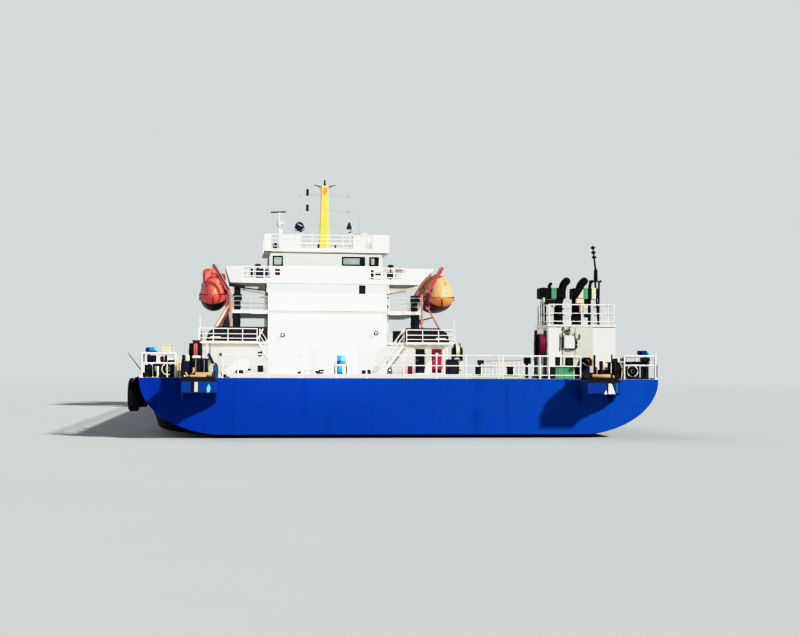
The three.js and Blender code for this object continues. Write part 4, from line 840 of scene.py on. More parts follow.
def reel_frame(name, place, outer, plate, top):
    """Two ribbed plates with bosses, on a foot or on a block of machinery."""
    x, t, h = place
    shape = Shape(paint="black")
    foot = 1.2 if name == "forward" else 0.08
    wide = 0.33 if name == "forward" else 0.16
    for a, b in ((x - outer, x - outer + plate), (x + outer - plate, x + outer)):
        outline = [(t - 0.33, foot), (t + 0.33, foot), (t + wide, foot + 0.3), (t + wide, h),
                   (t + wide * 0.6, top), (t - wide * 0.6, top), (t - wide, h), (t - wide, foot + 0.3)]
        shape.use("black").prism(outline, "x", a, b)
        shape.disc(((a + b) / 2, t, h), 0.14, plate + 0.03, "x", 20)
        for d in (-0.1, 0.1):
            rib = (t + d - 0.02, t + d + 0.02)
            shape.use("machine").box((a - 0.01, b + 0.01), rib, (foot, h - 0.15), 0.008)
    if name == "port":
        # The maroon box over the drum's top is painted shade: it stands for the drum's top in shadow
        shape.use("maroon").box((x - 0.14, x + outer - 0.06), (t - 0.38, t - 0.14), (1.61, 1.7), 0.01)
        shape.bar((x + 0.1, t - 0.26, 1.62), (x + outer - 0.04, t - 0.1, 1.5), 0.05)
    if name == "forward":
        shape.use("machine").box((8.75, 9.55), (41.15, 42.05), (0.005, 1.14), 0.04)
        shape.use("casing").box((9.5, 9.97), (41.2, 42.05), (0.005, 1.05), 0.04)
        shape.box((9.6, 9.9), (41.1, 41.2), (0.4, 0.8), 0.03)
        shape.blocks([(8.8, 9.1, 0.3, 0.8, "black"), (9.55, 9.62, 0.1, 1.0, "black")], (41.1, 41.2))
        shape.use("machine").box((8.75, 9.93), (41.1, 42.05), (1.1, 1.2), 0.02)
    else:
        shape.use("machine").box((x - outer - 0.05, x + outer + 0.05), (t - 0.45, t + 0.45), (0.005, 0.08))
    return shape


def reel_drum(name, place, outer, flange, half, colour):
    """Reel full of hose or rope between two spoked flanges."""
    x, t, h = place
    shape = Shape(paint="black").tube([(x - outer, t, h), (x + outer, t, h)], 0.055, 16)
    for d in (-1, 1):
        face = x + d * (half - 0.02)
        rim = flange if name == "forward" else flange - 0.08
        shape.use("black").disc((face, t, h), rim, 0.04, "x", 40)
        for c, q in circle(8):
            shape.bar(*[(face + d * 0.02, t + r * c, h + r * q) for r in (0.1, rim - 0.04)], 0.03, 0.04)
    turns = rope_turns(flange - 0.09, -half + 0.04, half - 0.04, 0.08)
    shape.use(colour).turned([(0.05, -half + 0.04)] + turns + [(0.05, half - 0.04)], "x", place, 40)
    return shape


for name, (place, outer, plates, drum) in REELS.items():
    piece(f"reel_stand_{name}", reel_frame(name, place, outer, *plates), f"reel_frame_{name}")
    piece(f"reel_full_{name}", reel_drum(name, place, outer, *drum), f"reel_{name}",
          f"reel_{name}")

# Rails and small gear at the stern

STERN_POSTS = (-7.94, -7.28, -5.94, -4.53, -3.03, -1.69, -0.07, 1.41, 2.72, 4.21, 4.38, 6.08, 6.49, 7.93)
rail = Shape(paint="rail")
for h, r in ((0.17, 0.022), (0.57, 0.026), (1.02, 0.034)):
    rail.tube([(-7.94, 0.12, h), (7.93, 0.12, h)], r)
for x in STERN_POSTS:
    rail.tube([(x, 0.12, 0.005), (x, 0.12, 1.02)], 0.034)
    rail.box((x - 0.06, x + 0.06), (0.06, 0.18), (0.005, 0.03), 0.005)
rail.use("black").tube([(6.33, 0.2, 0.005), (6.33, 0.2, 0.95)], 0.045)
piece("stern_rail_pipes", rail, "stern_rail")

for side, s in SIDES:
    rail = Shape(s, "rail")
    railing(rail, [(9.95, 0.12), (11.38, 0.12), (11.38, 42.8)], 0.005, 1.42, (0.62, 1.04), 0.036, 0.04)
    if s > 0:
        rail.post(11.39, 0.12, 0.005, 1.15, 0.05).use("black").post(11.46, 0.09, 0.005, 0.67, 0.022)
        rail.use("rail")
    for t in (11.5, 28.6, 39.95):
        rail.use("black").box((10.55, 11.42), (t - 0.75, t + 0.75), (0.005, 0.08))
        for d in (-0.35, 0.35):
            profile = [(0, 0.05), (0.14, 0.05), (0.14, 0.56), (0.18, 0.58), (0.18, 0.62), (0.15, 0.64),
                       (0, 0.65)]
            rail.turned(profile, "h", (10.85, t + d, 0), 20)
        rail.use("rail")
    piece(f"side_rail_pipes_{side}", rail, f"side_rail_{side}")


def tyre(ct):
    """Worn tyre against the port side, with tread blocks and two chains up to the deck's edge."""
    cx, ch = -11.7406, -0.75
    half = [(0.34, 0.15), (0.4, 0.2), (0.52, 0.239), (0.62, 0.225), (0.685, 0.17), (0.7, 0.08)]
    profile = [(0.36, 0.0)] + half + [(r, -d) for r, d in reversed(half)] + [(0.36, 0.0)]
    shape = Shape(paint="rubber").turned(profile, "x", (cx, ct, ch), 48)
    for k in range(36):
        for d in (-0.1, 0.1):
            a = k * math.tau / 36 + d * 0.35
            t, h = ct + 0.695 * math.cos(a), ch + 0.695 * math.sin(a)
            shape.bar((cx + d - 0.075, t, h), (cx + d + 0.075, t, h), 0.075, 0.045, 0.008)
    shape.use("rust")
    for d in (-0.25, 0.25):
        shape.tube([(cx, ct + d, ch + 0.5), (cx + 0.02, ct + d, -0.06), (cx + 0.3, ct + d, 0.05)], 0.03, 6, 4)
    return shape


piece("tyre_hung", tyre(1.0), "tyre_fender")
piece("tyre_second", tyre(7.6))

CORNER_GEAR = [
    ((0.45, 0.85), [
        (-11.17, -10.79, 0.65, 0.97, "navy"), (-10.62, -10.46, 0.68, 0.92, "machine"),
        (-10.42, -10.32, 0.65, 0.97, "machine"), (-10.03, -9.92, 0.62, 0.81, "black"),
        (-10.5, -10.42, 0.7, 0.9, "pink"), (-10.2, -9.94, 0.02, 0.57, "black"),
        (-11.28, -10.95, 0.02, 0.55, "machine"), (-10.85, -10.76, 0.25, 0.5, "steel"),
        (-8.0, -7.77, 0.05, 0.2, "black"), (-7.92, -7.63, 0.0, 0.06, "machine"),
        (10.11, 10.39, 0.66, 0.8, "machine"), (10.47, 11.23, 0.67, 0.81, "machine"),
        (10.9, 11.26, 0.81, 0.99, "machine"), (9.96, 10.03, 0.82, 0.97, "black"),
        (9.62, 9.76, 0.66, 0.95, "machine"), (9.45, 9.82, 0.02, 0.78, "black"),
        (10.93, 11.2, 0.02, 0.62, "machine"), (10.1, 10.22, 0.02, 0.6, "black"),
        (8.2, 8.5, 0.88, 0.98, "machine"), (8.5, 8.59, 0.6, 0.91, "red"),
    ]),
    ((1.0, 1.3), [(7.95, 8.06, 0.0, 0.6, "black"), (6.76, 6.96, 0.01, 0.57, "black")]),
    ((2.2, 3.0), [(11.2, 11.33, 0.02, 0.62, "machine")]),
    ((3.15, 3.7), [(9.98, 11.3, 0.02, 0.62, "machine")]),
    ((3.75, 4.2), [(10.0, 11.2, 0.02, 0.66, "black"), (-11.1, -9.75, 0.02, 0.66, "machine")]),
    ((1.4, 1.6), [(7.13, 7.34, 0.58, 1.0, "machine"), (7.6, 7.95, 0.58, 0.98, "machine")]),
    ((30.0, 30.3), [(9.0, 9.16, 0.0, 0.82, "black"), (8.95, 9.36, 0.81, 1.07, "machine")]),
    ((6.0, 6.3), [(6.8, 6.9, 0.0, 0.72, "black"), (6.71, 7.03, 0.7, 1.02, "machine")]),
]


def stern_gear():
    """Caps, boxes, bottle and posts at the stern's corners."""
    shape = Shape()
    for t, rows in CORNER_GEAR:
        shape.blocks(rows, t, soft=0.03)
    # Ventilator heads with a blue cap, a paler half to starboard: the sky blue and cyan boxes are a painted
    # highlight on the cap's sunlit side
    for x, stem in ((-11.02, -11.12), (11.14, 11.28)):
        shape.use("machine").post(stem, 1.15, 0.005, 1.1, 0.05, 16)
        for h in (0.3, 0.6, 0.9):
            shape.ring((stem, 1.15, h), 0.08, 0.03, 0.03, "h")
        shape.use("deep_blue").disc((x, 1.15, 1.21), 0.26, 0.2, "h", 32, 0.04)
        if x < 0:
            shape.use("sky_blue").box((x - 0.1, x + 0.12), (0.87, 1.1), (1.12, 1.3), 0.04)
        shape.use("cyan").box((x + 0.1, x + 0.27), (0.9, 1.2), (1.14, 1.31), 0.04)
    # Pale green open box on a post
    for a, b in (((-10.62, 1.12), (-10.62, 1.45)), ((-10.12, 1.12), (-10.12, 1.45)),
                 ((-10.64, 1.14), (-10.1, 1.14)), ((-10.64, 1.43), (-10.1, 1.43))):
        shape.use("pale_green").bar((a[0], 1.6, a[1]), (b[0], 1.6, b[1]), 0.05)
    shape.use("cream").box((-10.6, -10.14), (1.6, 1.66), (1.14, 1.42)).post(-10.37, 1.63, 0.005, 1.16, 0.03)
    # Posts: thick and white at the port corner, doubled and cream by the fairlead, grey by the locker
    for x, t, top, r, colour in ((-10.7, 0.2, 0.5, 0.045, "rail"), (-9.87, 0.3, 0.95, 0.045, "cream"),
                                 (-9.76, 0.3, 0.9, 0.03, "cream"), (7.95, 0.22, 0.66, 0.025, "steel")):
        shape.use(colour).post(x, t, 0.005, top, r).disc((x, t, 0.02), r * 2, 0.03, "h", 16)
    # Blue bottle inboard of the port fairlead
    profile = [(0, 0.01), (0.1, 0.01), (0.11, 0.04), (0.11, 0.48), (0.09, 0.56), (0.05, 0.6), (0.04, 0.66),
               (0, 0.66)]
    shape.use("teal").turned(profile, "h", (-8.23, 0.4, 0), 24)
    # Slanted whip by the tyre
    foot = [(0, 0), (0.09, 0), (0.07, 0.16), (0.03, 0.2), (0, 0.2)]
    shape.use("red").turned(foot, "h", (-11.3, 0.6, 0), 14)
    shape.use("navy").tube([(-11.3, 0.6, 0.15), (-11.97, 0.25, 1.06)], [0.025, 0.012], 6)
    # Navy winch beside the starboard fairlead, with a pale band across it
    bulk = [(8.1, 0.01), (8.58, 0.01), (8.6, 0.55), (8.5, 0.9), (8.22, 0.95), (8.08, 0.6)]
    shape.use("navy").prism(bulk, "t", 0.9, 1.4, 0.05)
    shape.use("rail").bar((8.13, 0.89, 0.8), (8.44, 0.89, 0.62), 0.03, 0.045)
    shape.use("pink").bar((8.42, 0.885, 0.63), (8.56, 0.885, 0.55), 0.03, 0.05)
    drop = [(9.88, 0.3, 0.95), (9.84, 0.3, 0.7), (9.91, 0.3, 0.5), (9.86, 0.3, 0.01)]
    shape.use("cream").tube(drop, 0.025, 8, 5)
    return shape


piece("stern_gear", stern_gear())

box = Shape(paint="green")
box.box((7.0, 7.9), (1.0, 1.7), (0.01, 0.52), 0.02).box((6.97, 7.93), (0.97, 1.73), (0.5, 0.58), 0.02)
box.blocks([(6.98, 7.92, 0.53, 0.58, "black")], (0.96, 0.99), soft=0.008)
box.blocks([(x - 0.02, x + 0.02, 0.05, 0.48, "green") for x in (7.15, 7.45, 7.75)], (0.985, 1.0), soft=0.008)
# Pale green strip down the starboard edge of the aft face: a painted highlight where the edge catches the
# light
box.use("pale_green").box((7.84, 7.9), (0.985, 1.0), (0.03, 0.5), 0.006)
piece("deck_locker", box, "deck_box")

# Engine casing, exhausts and lamp mast

CASING_TOP = 2.6
CABLES = [
    [(8.35, 4.84, 2.48), (8.45, 4.82, 2.3), (8.6, 4.8, 2.24), (8.5, 4.8, 2.1)],
    [(8.72, 4.84, 2.5), (8.62, 4.8, 2.4), (8.68, 4.82, 2.22), (8.6, 4.8, 2.1)],
    [(8.28, 4.84, 2.2), (8.32, 4.8, 1.8), (8.28, 4.82, 1.4)],
    [(8.9, 4.82, 2.2), (8.95, 4.78, 1.95), (9.15, 4.8, 1.92), (9.17, 4.82, 2.15)],
    [(8.92, 4.82, 1.9), (9.02, 4.78, 1.75), (8.98, 4.8, 1.6), (9.0, 4.8, 1.5), (8.92, 4.82, 1.4)],
    [(8.45, 4.84, 1.42), (8.65, 4.8, 1.38), (8.9, 4.82, 1.43)],
]


def casing():
    shape = Shape(paint="white")
    shape.box((7.62, 10.96), (4.9, 7.3), (0.005, 2.56), 0.02)
    shape.box((7.56, 11.02), (4.84, 7.36), (2.5, 2.6), 0.02)
    # Grey plates on the white aft face: painted shade across this part of the face
    shape.use("casing").box((8.34, 9.85), (4.875, 4.91), (0.01, 2.5), 0.006)
    shape.blocks([(8.95, 9.8, 0.95, 2.45, "casing"), (8.34, 8.37, 0.1, 2.45, "casing")], (4.85, 4.88),
                 soft=0.01)
    # Panel with its cables and junctions
    shape.use("white").box((8.37, 8.9), (4.78, 4.92), (1.45, 2.07), 0.03)
    shape.use("steel").box((8.36, 8.91), (4.8, 4.88), (1.43, 2.09), 0.01)
    for n, run in enumerate(CABLES):
        shape.use("black" if n > 1 else "machine").tube(run, 0.02 + 0.008 * (n in (2, 4)), 7, 6)
    for x, h, r in ((9.0, 1.75, 0.05), (9.0, 1.55, 0.06), (8.5, 2.3, 0.05), (8.66, 2.34, 0.05)):
        shape.ball((x, 4.82, h), r, "t", 10)
    shape.use("rail")
    ring = [(7.68, 7.24), (7.68, 4.96), (10.9, 4.96), (10.9, 7.24), (7.68, 7.24)]
    railing(shape, ring, CASING_TOP, 1.6, (0.17, 0.56, 0.98), 0.022, 0.024)
    for x in (10.27, 10.36, 10.45, 10.54, 10.63):
        shape.tube([(x, 4.96, CASING_TOP), (x, 4.96, CASING_TOP + 0.98)], 0.014, 6)
    # Rungs up the inboard side, doors and louvres on the other sides
    for k in range(8):
        rung = [(x, t, 0.3 + 0.3 * k) for x, t in ((7.6, 5.2), (7.53, 5.2), (7.53, 5.6), (7.6, 5.6))]
        shape.use("black").tube(rung, 0.016, 6)
    for x, way in ((7.62, -1), (10.96, 1)):
        shape.use("casing").box((x, x + way * 0.04), (6.1, 6.9), (0.7, 1.6), 0.01)
        for k in range(8):
            slat = [(x + way * 0.04, t, 0.78 + 0.1 * k) for t in (6.14, 6.86)]
            shape.bar(*slat, 0.03, 0.05)
    for x in (8.1, 9.6):
        shape.use("white").box((x, x + 0.8), (7.3, 7.36), (0.15, 1.95), 0.03)
        shape.use("black").box((x + 0.66, x + 0.72), (7.36, 7.42), (0.95, 1.15), 0.01)
        for h in (0.4, 1.5):
            shape.use("steel").tube([(x, 7.35, h), (x, 7.35, h + 0.2)], 0.03)
    return shape


piece("casing_plates", casing(), "engine_casing")

# Ends of the box, route of the stack, route and radius of the drain, legs, then blocks on the aft face
SILENCERS = {
    "inner": ((7.38, 8.66), [(8.335, 2.7), (8.335, 3.56), (8.48, 4.1), (8.55, 4.45), (8.63, 4.65),
                             (8.75, 4.77)],
              [(7.88, 4.4), (7.9, 4.55), (7.96, 4.63)], 0.08, (7.75, 8.55), [
                  (7.91, 8.17, 3.88, 4.43, "green"), (7.63, 8.38, 3.63, 3.85, "soot"),
                  (7.5, 7.6, 3.72, 3.94, "cream"), (7.98, 8.12, 3.5, 3.66, "casing")]),
    "outer": ((9.03, 10.3), [(9.3, 2.7), (9.27, 3.5), (9.28, 3.93), (9.41, 4.45), (9.51, 4.65), (9.64, 4.78)],
              [(9.9, 2.62), (9.9, 3.57), (9.92, 4.4), (9.95, 4.66), (10.04, 4.78)], 0.075, (9.12, 9.3), [
                  (9.53, 9.75, 3.88, 4.43, "green"), (9.93, 10.15, 3.88, 4.43, "pale_green"),
                  (9.15, 9.56, 3.66, 3.9, "cream"), (9.31, 9.56, 3.24, 3.55, "tan"),
                  (8.98, 9.4, 2.82, 3.11, "soot"), (9.57, 9.8, 3.66, 3.9, "soot"),
                  (9.62, 9.84, 3.0, 3.18, "machine")]),
}


def exhaust(box, stack, drain, drain_r, legs, blocks):
    """Silencer box with green ends on legs, a stack with a rounded end, its trunk and the drain."""
    t0, t1, stack_t = 5.5, 6.3, 5.75
    # Soot-black box with green blocks on its aft face: the black is partly black pipes and partly painted
    # shade on the green housing's shaded sides
    shape = Shape(paint="soot").box(box, (t0, t1), (3.9, 4.42), 0.04)
    for x in (box[0] + 0.2, box[1] - 0.2):
        shape.box((x - 0.03, x + 0.03), (t0 - 0.012, t1 + 0.012), (3.88, 4.44), 0.01)
    for x in legs:
        shape.post(x, t1 - 0.3, CASING_TOP, 4.0, 0.045)
        shape.disc((x, t1 - 0.3, CASING_TOP + 0.03), 0.1, 0.05, "h", 16)
    foot = stack[0][0]
    profile = [(0, 0), (0.26, 0), (0.26, 0.06), (0.22, 0.08), (0.22, 0.5), (0.24, 0.52), (0.24, 0.58),
               (0.19, 0.6), (0, 0.6)]
    shape.turned(profile, "h", (foot, stack_t, CASING_TOP + 0.002), 24)
    shape.tube([(x, stack_t, h) for x, h in stack], 0.19, 18, 6)
    shape.ball((stack[-1][0], stack_t, stack[-1][1]), 0.19, "x", 18)
    shape.ring((foot + 0.04, stack_t, 3.4), 0.22, 0.04, 0.07, "h")
    shape.tube([(x, stack_t, h) for x, h in drain], drain_r, 12, 4)
    shape.ball((drain[-1][0], stack_t, drain[-1][1]), drain_r, "x", 12)
    return shape.blocks(blocks, (t0 - 0.05, t0 + 0.3), soft=0.02)


for name, row in SILENCERS.items():
    shape = exhaust(*row)
    if name == "inner":
        for x, r, colour in ((7.52, 0.025, "steel"), (7.62, 0.03, "black")):
            shape.use(colour).tube([(x, 6.0, CASING_TOP), (x, 6.0, 3.72), (x + 0.05, 5.8, 3.95)], r)
    else:
        shape.use("cream").prism([(9.22, 3.93), (9.52, 3.93), (9.52, 4.4)], "t", 5.44, 5.5, 0.006)
    piece(f"exhaust_bank_{name}", shape, f"exhaust_{name}")


def casing_mast():
    """Two legs that meet at the foot, an arm, a sleeve, and a pole with three lamps."""
    x, foot, t = 10.61, 10.75, 7.12
    shape = Shape(paint="soot").box((foot - 0.2, foot + 0.18), (t - 0.12, t + 0.12),
                                    (CASING_TOP, CASING_TOP + 0.06))
    for head in (10.58, 10.78):
        shape.bar((foot, t, CASING_TOP + 0.03), (head, t, 4.88), 0.08)
    shape.bar((10.28, t, 4.87), (10.89, t, 4.87), 0.07).ball((10.86, t, 4.88), 0.06)
    shape.ball((10.3, t, 4.88), 0.05)
    sleeve = [(0, 4.85), (0.07, 4.85), (0.1, 4.95), (0.09, 5.4), (0.06, 5.5), (0, 5.5)]
    shape.turned(sleeve, "h", (x, t, 0), 16)
    shape.tube([(x, t, 5.4), (10.45, t, 6.67)], [0.05, 0.03])
    for h in (6.02, 6.26, 6.5):
        profile = [(0, h - 0.02), (0.06, h), (0.12, h + 0.06), (0.12, h + 0.1), (0.04, h + 0.14),
                   (0, h + 0.14)]
        shape.turned(profile, "h", (x - 0.13 * (h - 5.4), t, 0), 16)
    return shape


piece("casing_light_mast", casing_mast(), "casing_mast")

# Deckhouse

BOAT_DECK, GALLERY_DECK, BRIDGE_DECK, ROOF = 2.5, 4.92, 7.35, 9.9
CORE_HALF, WHEELHOUSE_HALF = 4.6, 4.42
HOUSE_PORT, HOUSE_STARBOARD, HOUSE_FORE = -9.7, 9.5, 57
HOUSE_AFT, SIDES_AFT, WHEELHOUSE_AFT = 45, 46.2, 47

for name in ("main_house", "second_house", "third_house", "wheelhouse"):
    dress(name, "wall")

# x range, face, paint, round light, side of the hinges
DOORS = {
    "core_port": ((-1.1, 0.4), HOUSE_AFT, "white", False, 1),
    "core_starboard": ((2.6, 3.9), HOUSE_AFT, "white", False, -1),
    "side_inner": ((7.08, 7.7), SIDES_AFT, "black", False, 1),
    "side_outer": ((8.38, 9.07), SIDES_AFT, "red", True, 1),
}
DOOR_LOW, DOOR_HIGH = 0.2, 2.0


def door(x, t, colour, light, hinge):
    """Weathertight door: raised rim, stiffeners, dogs and hinges."""
    (x0, x1), h0, h1 = x, DOOR_LOW, DOOR_HIGH
    face = t - 0.0006
    shape = Shape(paint=colour).box((x0 - 0.05, x1 + 0.05), (face - 0.05, face), (h0 - 0.05, h1 + 0.05))
    shape.box((x0 + 0.08, x1 - 0.08), (face - 0.068, face - 0.04), (h0 + 0.1, h1 - 0.1), 0.02)
    for h in (h0 + 0.5, h1 - 0.6):
        shape.bar((x0 + 0.1, face - 0.07, h), (x1 - 0.1, face - 0.07, h), 0.025, 0.05)
    grip = x0 + 0.1 if hinge > 0 else x1 - 0.1
    pin = x1 + 0.05 if hinge > 0 else x0 - 0.05
    for h in (h0 + 0.3, h1 - 0.5):
        shape.tube([(pin, face - 0.05, h), (pin, face - 0.05, h + 0.2)], 0.04, 12)
    shape.use("steel").bar((grip, face - 0.11, 1.0), (grip, face - 0.11, 1.25), 0.03)
    shape.tube([(grip, face - 0.11, 1.12), (grip, face - 0.05, 1.12)], 0.03, 10)
    if colour != "white":
        shape.use("black").box((x0 + 0.02, x1 - 0.02), (face - 0.075, face - 0.05), (h0, 0.43), 0.01)
    if light:
        shape.use("lamp").disc(((x0 + x1) / 2, face - 0.07, h1 - 0.35), 0.13, 0.03)
    return shape


for name, row in DOORS.items():
    piece(f"door_leaf_{name}", door(*row), f"door_{name}", f"door_{name}")


def framed(shape, a, h, put, glass_name, rim=0.09):
    """Pane in a rubber frame. put(a range, depth range) gives the box's x and t ranges."""
    (a0, a1), (h0, h1) = a, h
    shape.use("rubber")
    for p, q, c, d in ((a0 - rim, a1 + rim, h0 - rim, h0 + 0.02), (a0 - rim, a1 + rim, h1 - 0.02, h1 + rim),
                       (a0 - rim, a0 + 0.02, h0 - rim, h1 + rim), (a1 - 0.02, a1 + rim, h0 - rim, h1 + rim)):
        shape.box(*put((p, q), (-0.01, 0.05)), (c, d), 0.015)
    shape.use(glass_name).box(*put((a0, a1), (-0.05, -0.02)), (h0, h1), 0.002)


def window(shape, x, h, t, way=-1, glass_name="dark_pane"):
    framed(shape, x, h, lambda a, d: (a, [t + way * k for k in d]), glass_name)


def side_window(shape, t, h, x, glass_name="dark_pane"):
    for s in (-1, 1):
        framed(shape, t, h, lambda a, d: ([s * (x + k) for k in d], a), glass_name)


def porthole(shape, place, axis, way, radius=0.16):
    out = {"x": (way * 0.015, 0, 0), "t": (0, way * 0.015, 0)}[axis]
    centre = [a + b for a, b in zip(place, out)]
    shape.use("white").ring(centre, radius + 0.05, 0.05, 0.04, axis)
    shape.use("dark_pane").disc(place, radius + 0.01, 0.02, axis, 24, 0.002)


def windows():
    shape = Shape()
    window(shape, (-4.13, -3.5), (8.6, 9.22), WHEELHOUSE_AFT, -1, "pane")
    for (x0, x1), dark in (((1.32, 2.98), (2.64, 2.96)), ((3.52, 4.08), (3.82, 4.06))):
        window(shape, (x0, x1), (8.68, 9.22), WHEELHOUSE_AFT, -1, "pane")
        behind = (WHEELHOUSE_AFT + 0.006, WHEELHOUSE_AFT + 0.018)
        shape.use("dark_pane").box(dark, behind, (8.7, 9.2), 0.002)
    for x in (-3.6, -2.2, -0.7, 0.8, 2.3):
        window(shape, (x, x + 1.2), (8.45, 9.3), 52.4, 1)
    for t in (49.3, 50.8):
        side_window(shape, (t, t + 1.1), (8.45, 9.3), WHEELHOUSE_HALF)
    window(shape, (2.49, 2.82), (6.36, 6.83), HOUSE_AFT)
    for x in (-8, -5.2, -2.4, 0.4, 3.2, 6, 8.2):
        porthole(shape, (x, HOUSE_FORE, 1.5), "t", 1)
    for x in (-5.2, -8.2):
        porthole(shape, (x, SIDES_AFT, 1.5), "t", -1, 0.13)
    for x in (-3, -1, 1, 3):
        window(shape, (x - 0.35, x + 0.35), (3.4, 4.0), 55.5, 1)
        window(shape, (x - 0.35, x + 0.35), (5.8, 6.4), 54.5, 1)
    for s in (-1, 1):
        for t in (47, 51.5, 53.5):
            porthole(shape, (s * CORE_HALF, t, 3.75), "x", s)
            porthole(shape, (s * CORE_HALF, t - 0.8, 6.1), "x", s)
    for x, s in ((HOUSE_PORT, -1), (HOUSE_STARBOARD, 1)):
        for t in (48.5, 51, 53.5):
            porthole(shape, (x, t, 1.5), "x", s)
    return shape


piece("window_set", windows())

DECK_GEAR = [
    ((43.9, 44.25), [
        (-2.36, -1.98, 0.0, 0.25, "black"), (-1.88, -1.16, 0.0, 0.06, "machine"),
        (-1.88, -1.24, 0.27, 0.32, "machine"), (-1.84, -1.78, 0.0, 0.3, "casing"),
        (-1.34, -1.28, 0.0, 0.3, "casing"), (2.56, 2.84, 0.0, 0.36, "machine"),
        (2.96, 3.23, 0.0, 0.4, "machine"),
    ]),
    ((43.1, 43.4), [(-1.1, -0.72, 0.19, 0.29, "machine"), (-0.78, -0.4, 0.28, 0.39, "machine"),
                    (-0.8, -0.72, 0.0, 0.32, "casing")]),
    ((45.85, 46.2), [
        (-5.35, -5.19, 1.41, 1.75, "black"), (-5.16, -5.0, 1.41, 1.75, "black"),
        (-5.34, -4.92, 0.2, 0.68, "black"), (-6.09, -5.88, 0.27, 0.44, "black"),
        (-6.05, -5.92, 0.0, 0.27, "white"), (-7.04, -6.43, 0.0, 0.33, "machine"),
        (6.41, 6.74, 0.0, 0.74, "red"),
    ]),
    ((35.8, 36.2), [
        (-2.4, -1.67, 0.0, 0.07, "black"), (-1.5, -0.98, 0.0, 0.2, "machine"),
        (-1.56, -1.2, 0.2, 0.3, "black"), (-1.3, -0.93, 0.26, 0.38, "black"),
    ]),
]
DRUMS = 43.0  # Where the blue drums stand, clear of the door
WALL_PIPES = [
    (-4.68, 45.25, 2.6, 4.6, "maroon", 0.05), (-4.7, 45.05, 5.0, 6.9, "black", 0.035),
    (4.72, 45.3, 2.6, 4.6, "casing", 0.04), (4.78, 45.1, 5.0, 6.95, "casing", 0.04),
    (-9.0, 46.12, 0.0, 2.3, "white", 0.035), (9.3, 46.12, 0.0, 2.3, "white", 0.035),
]


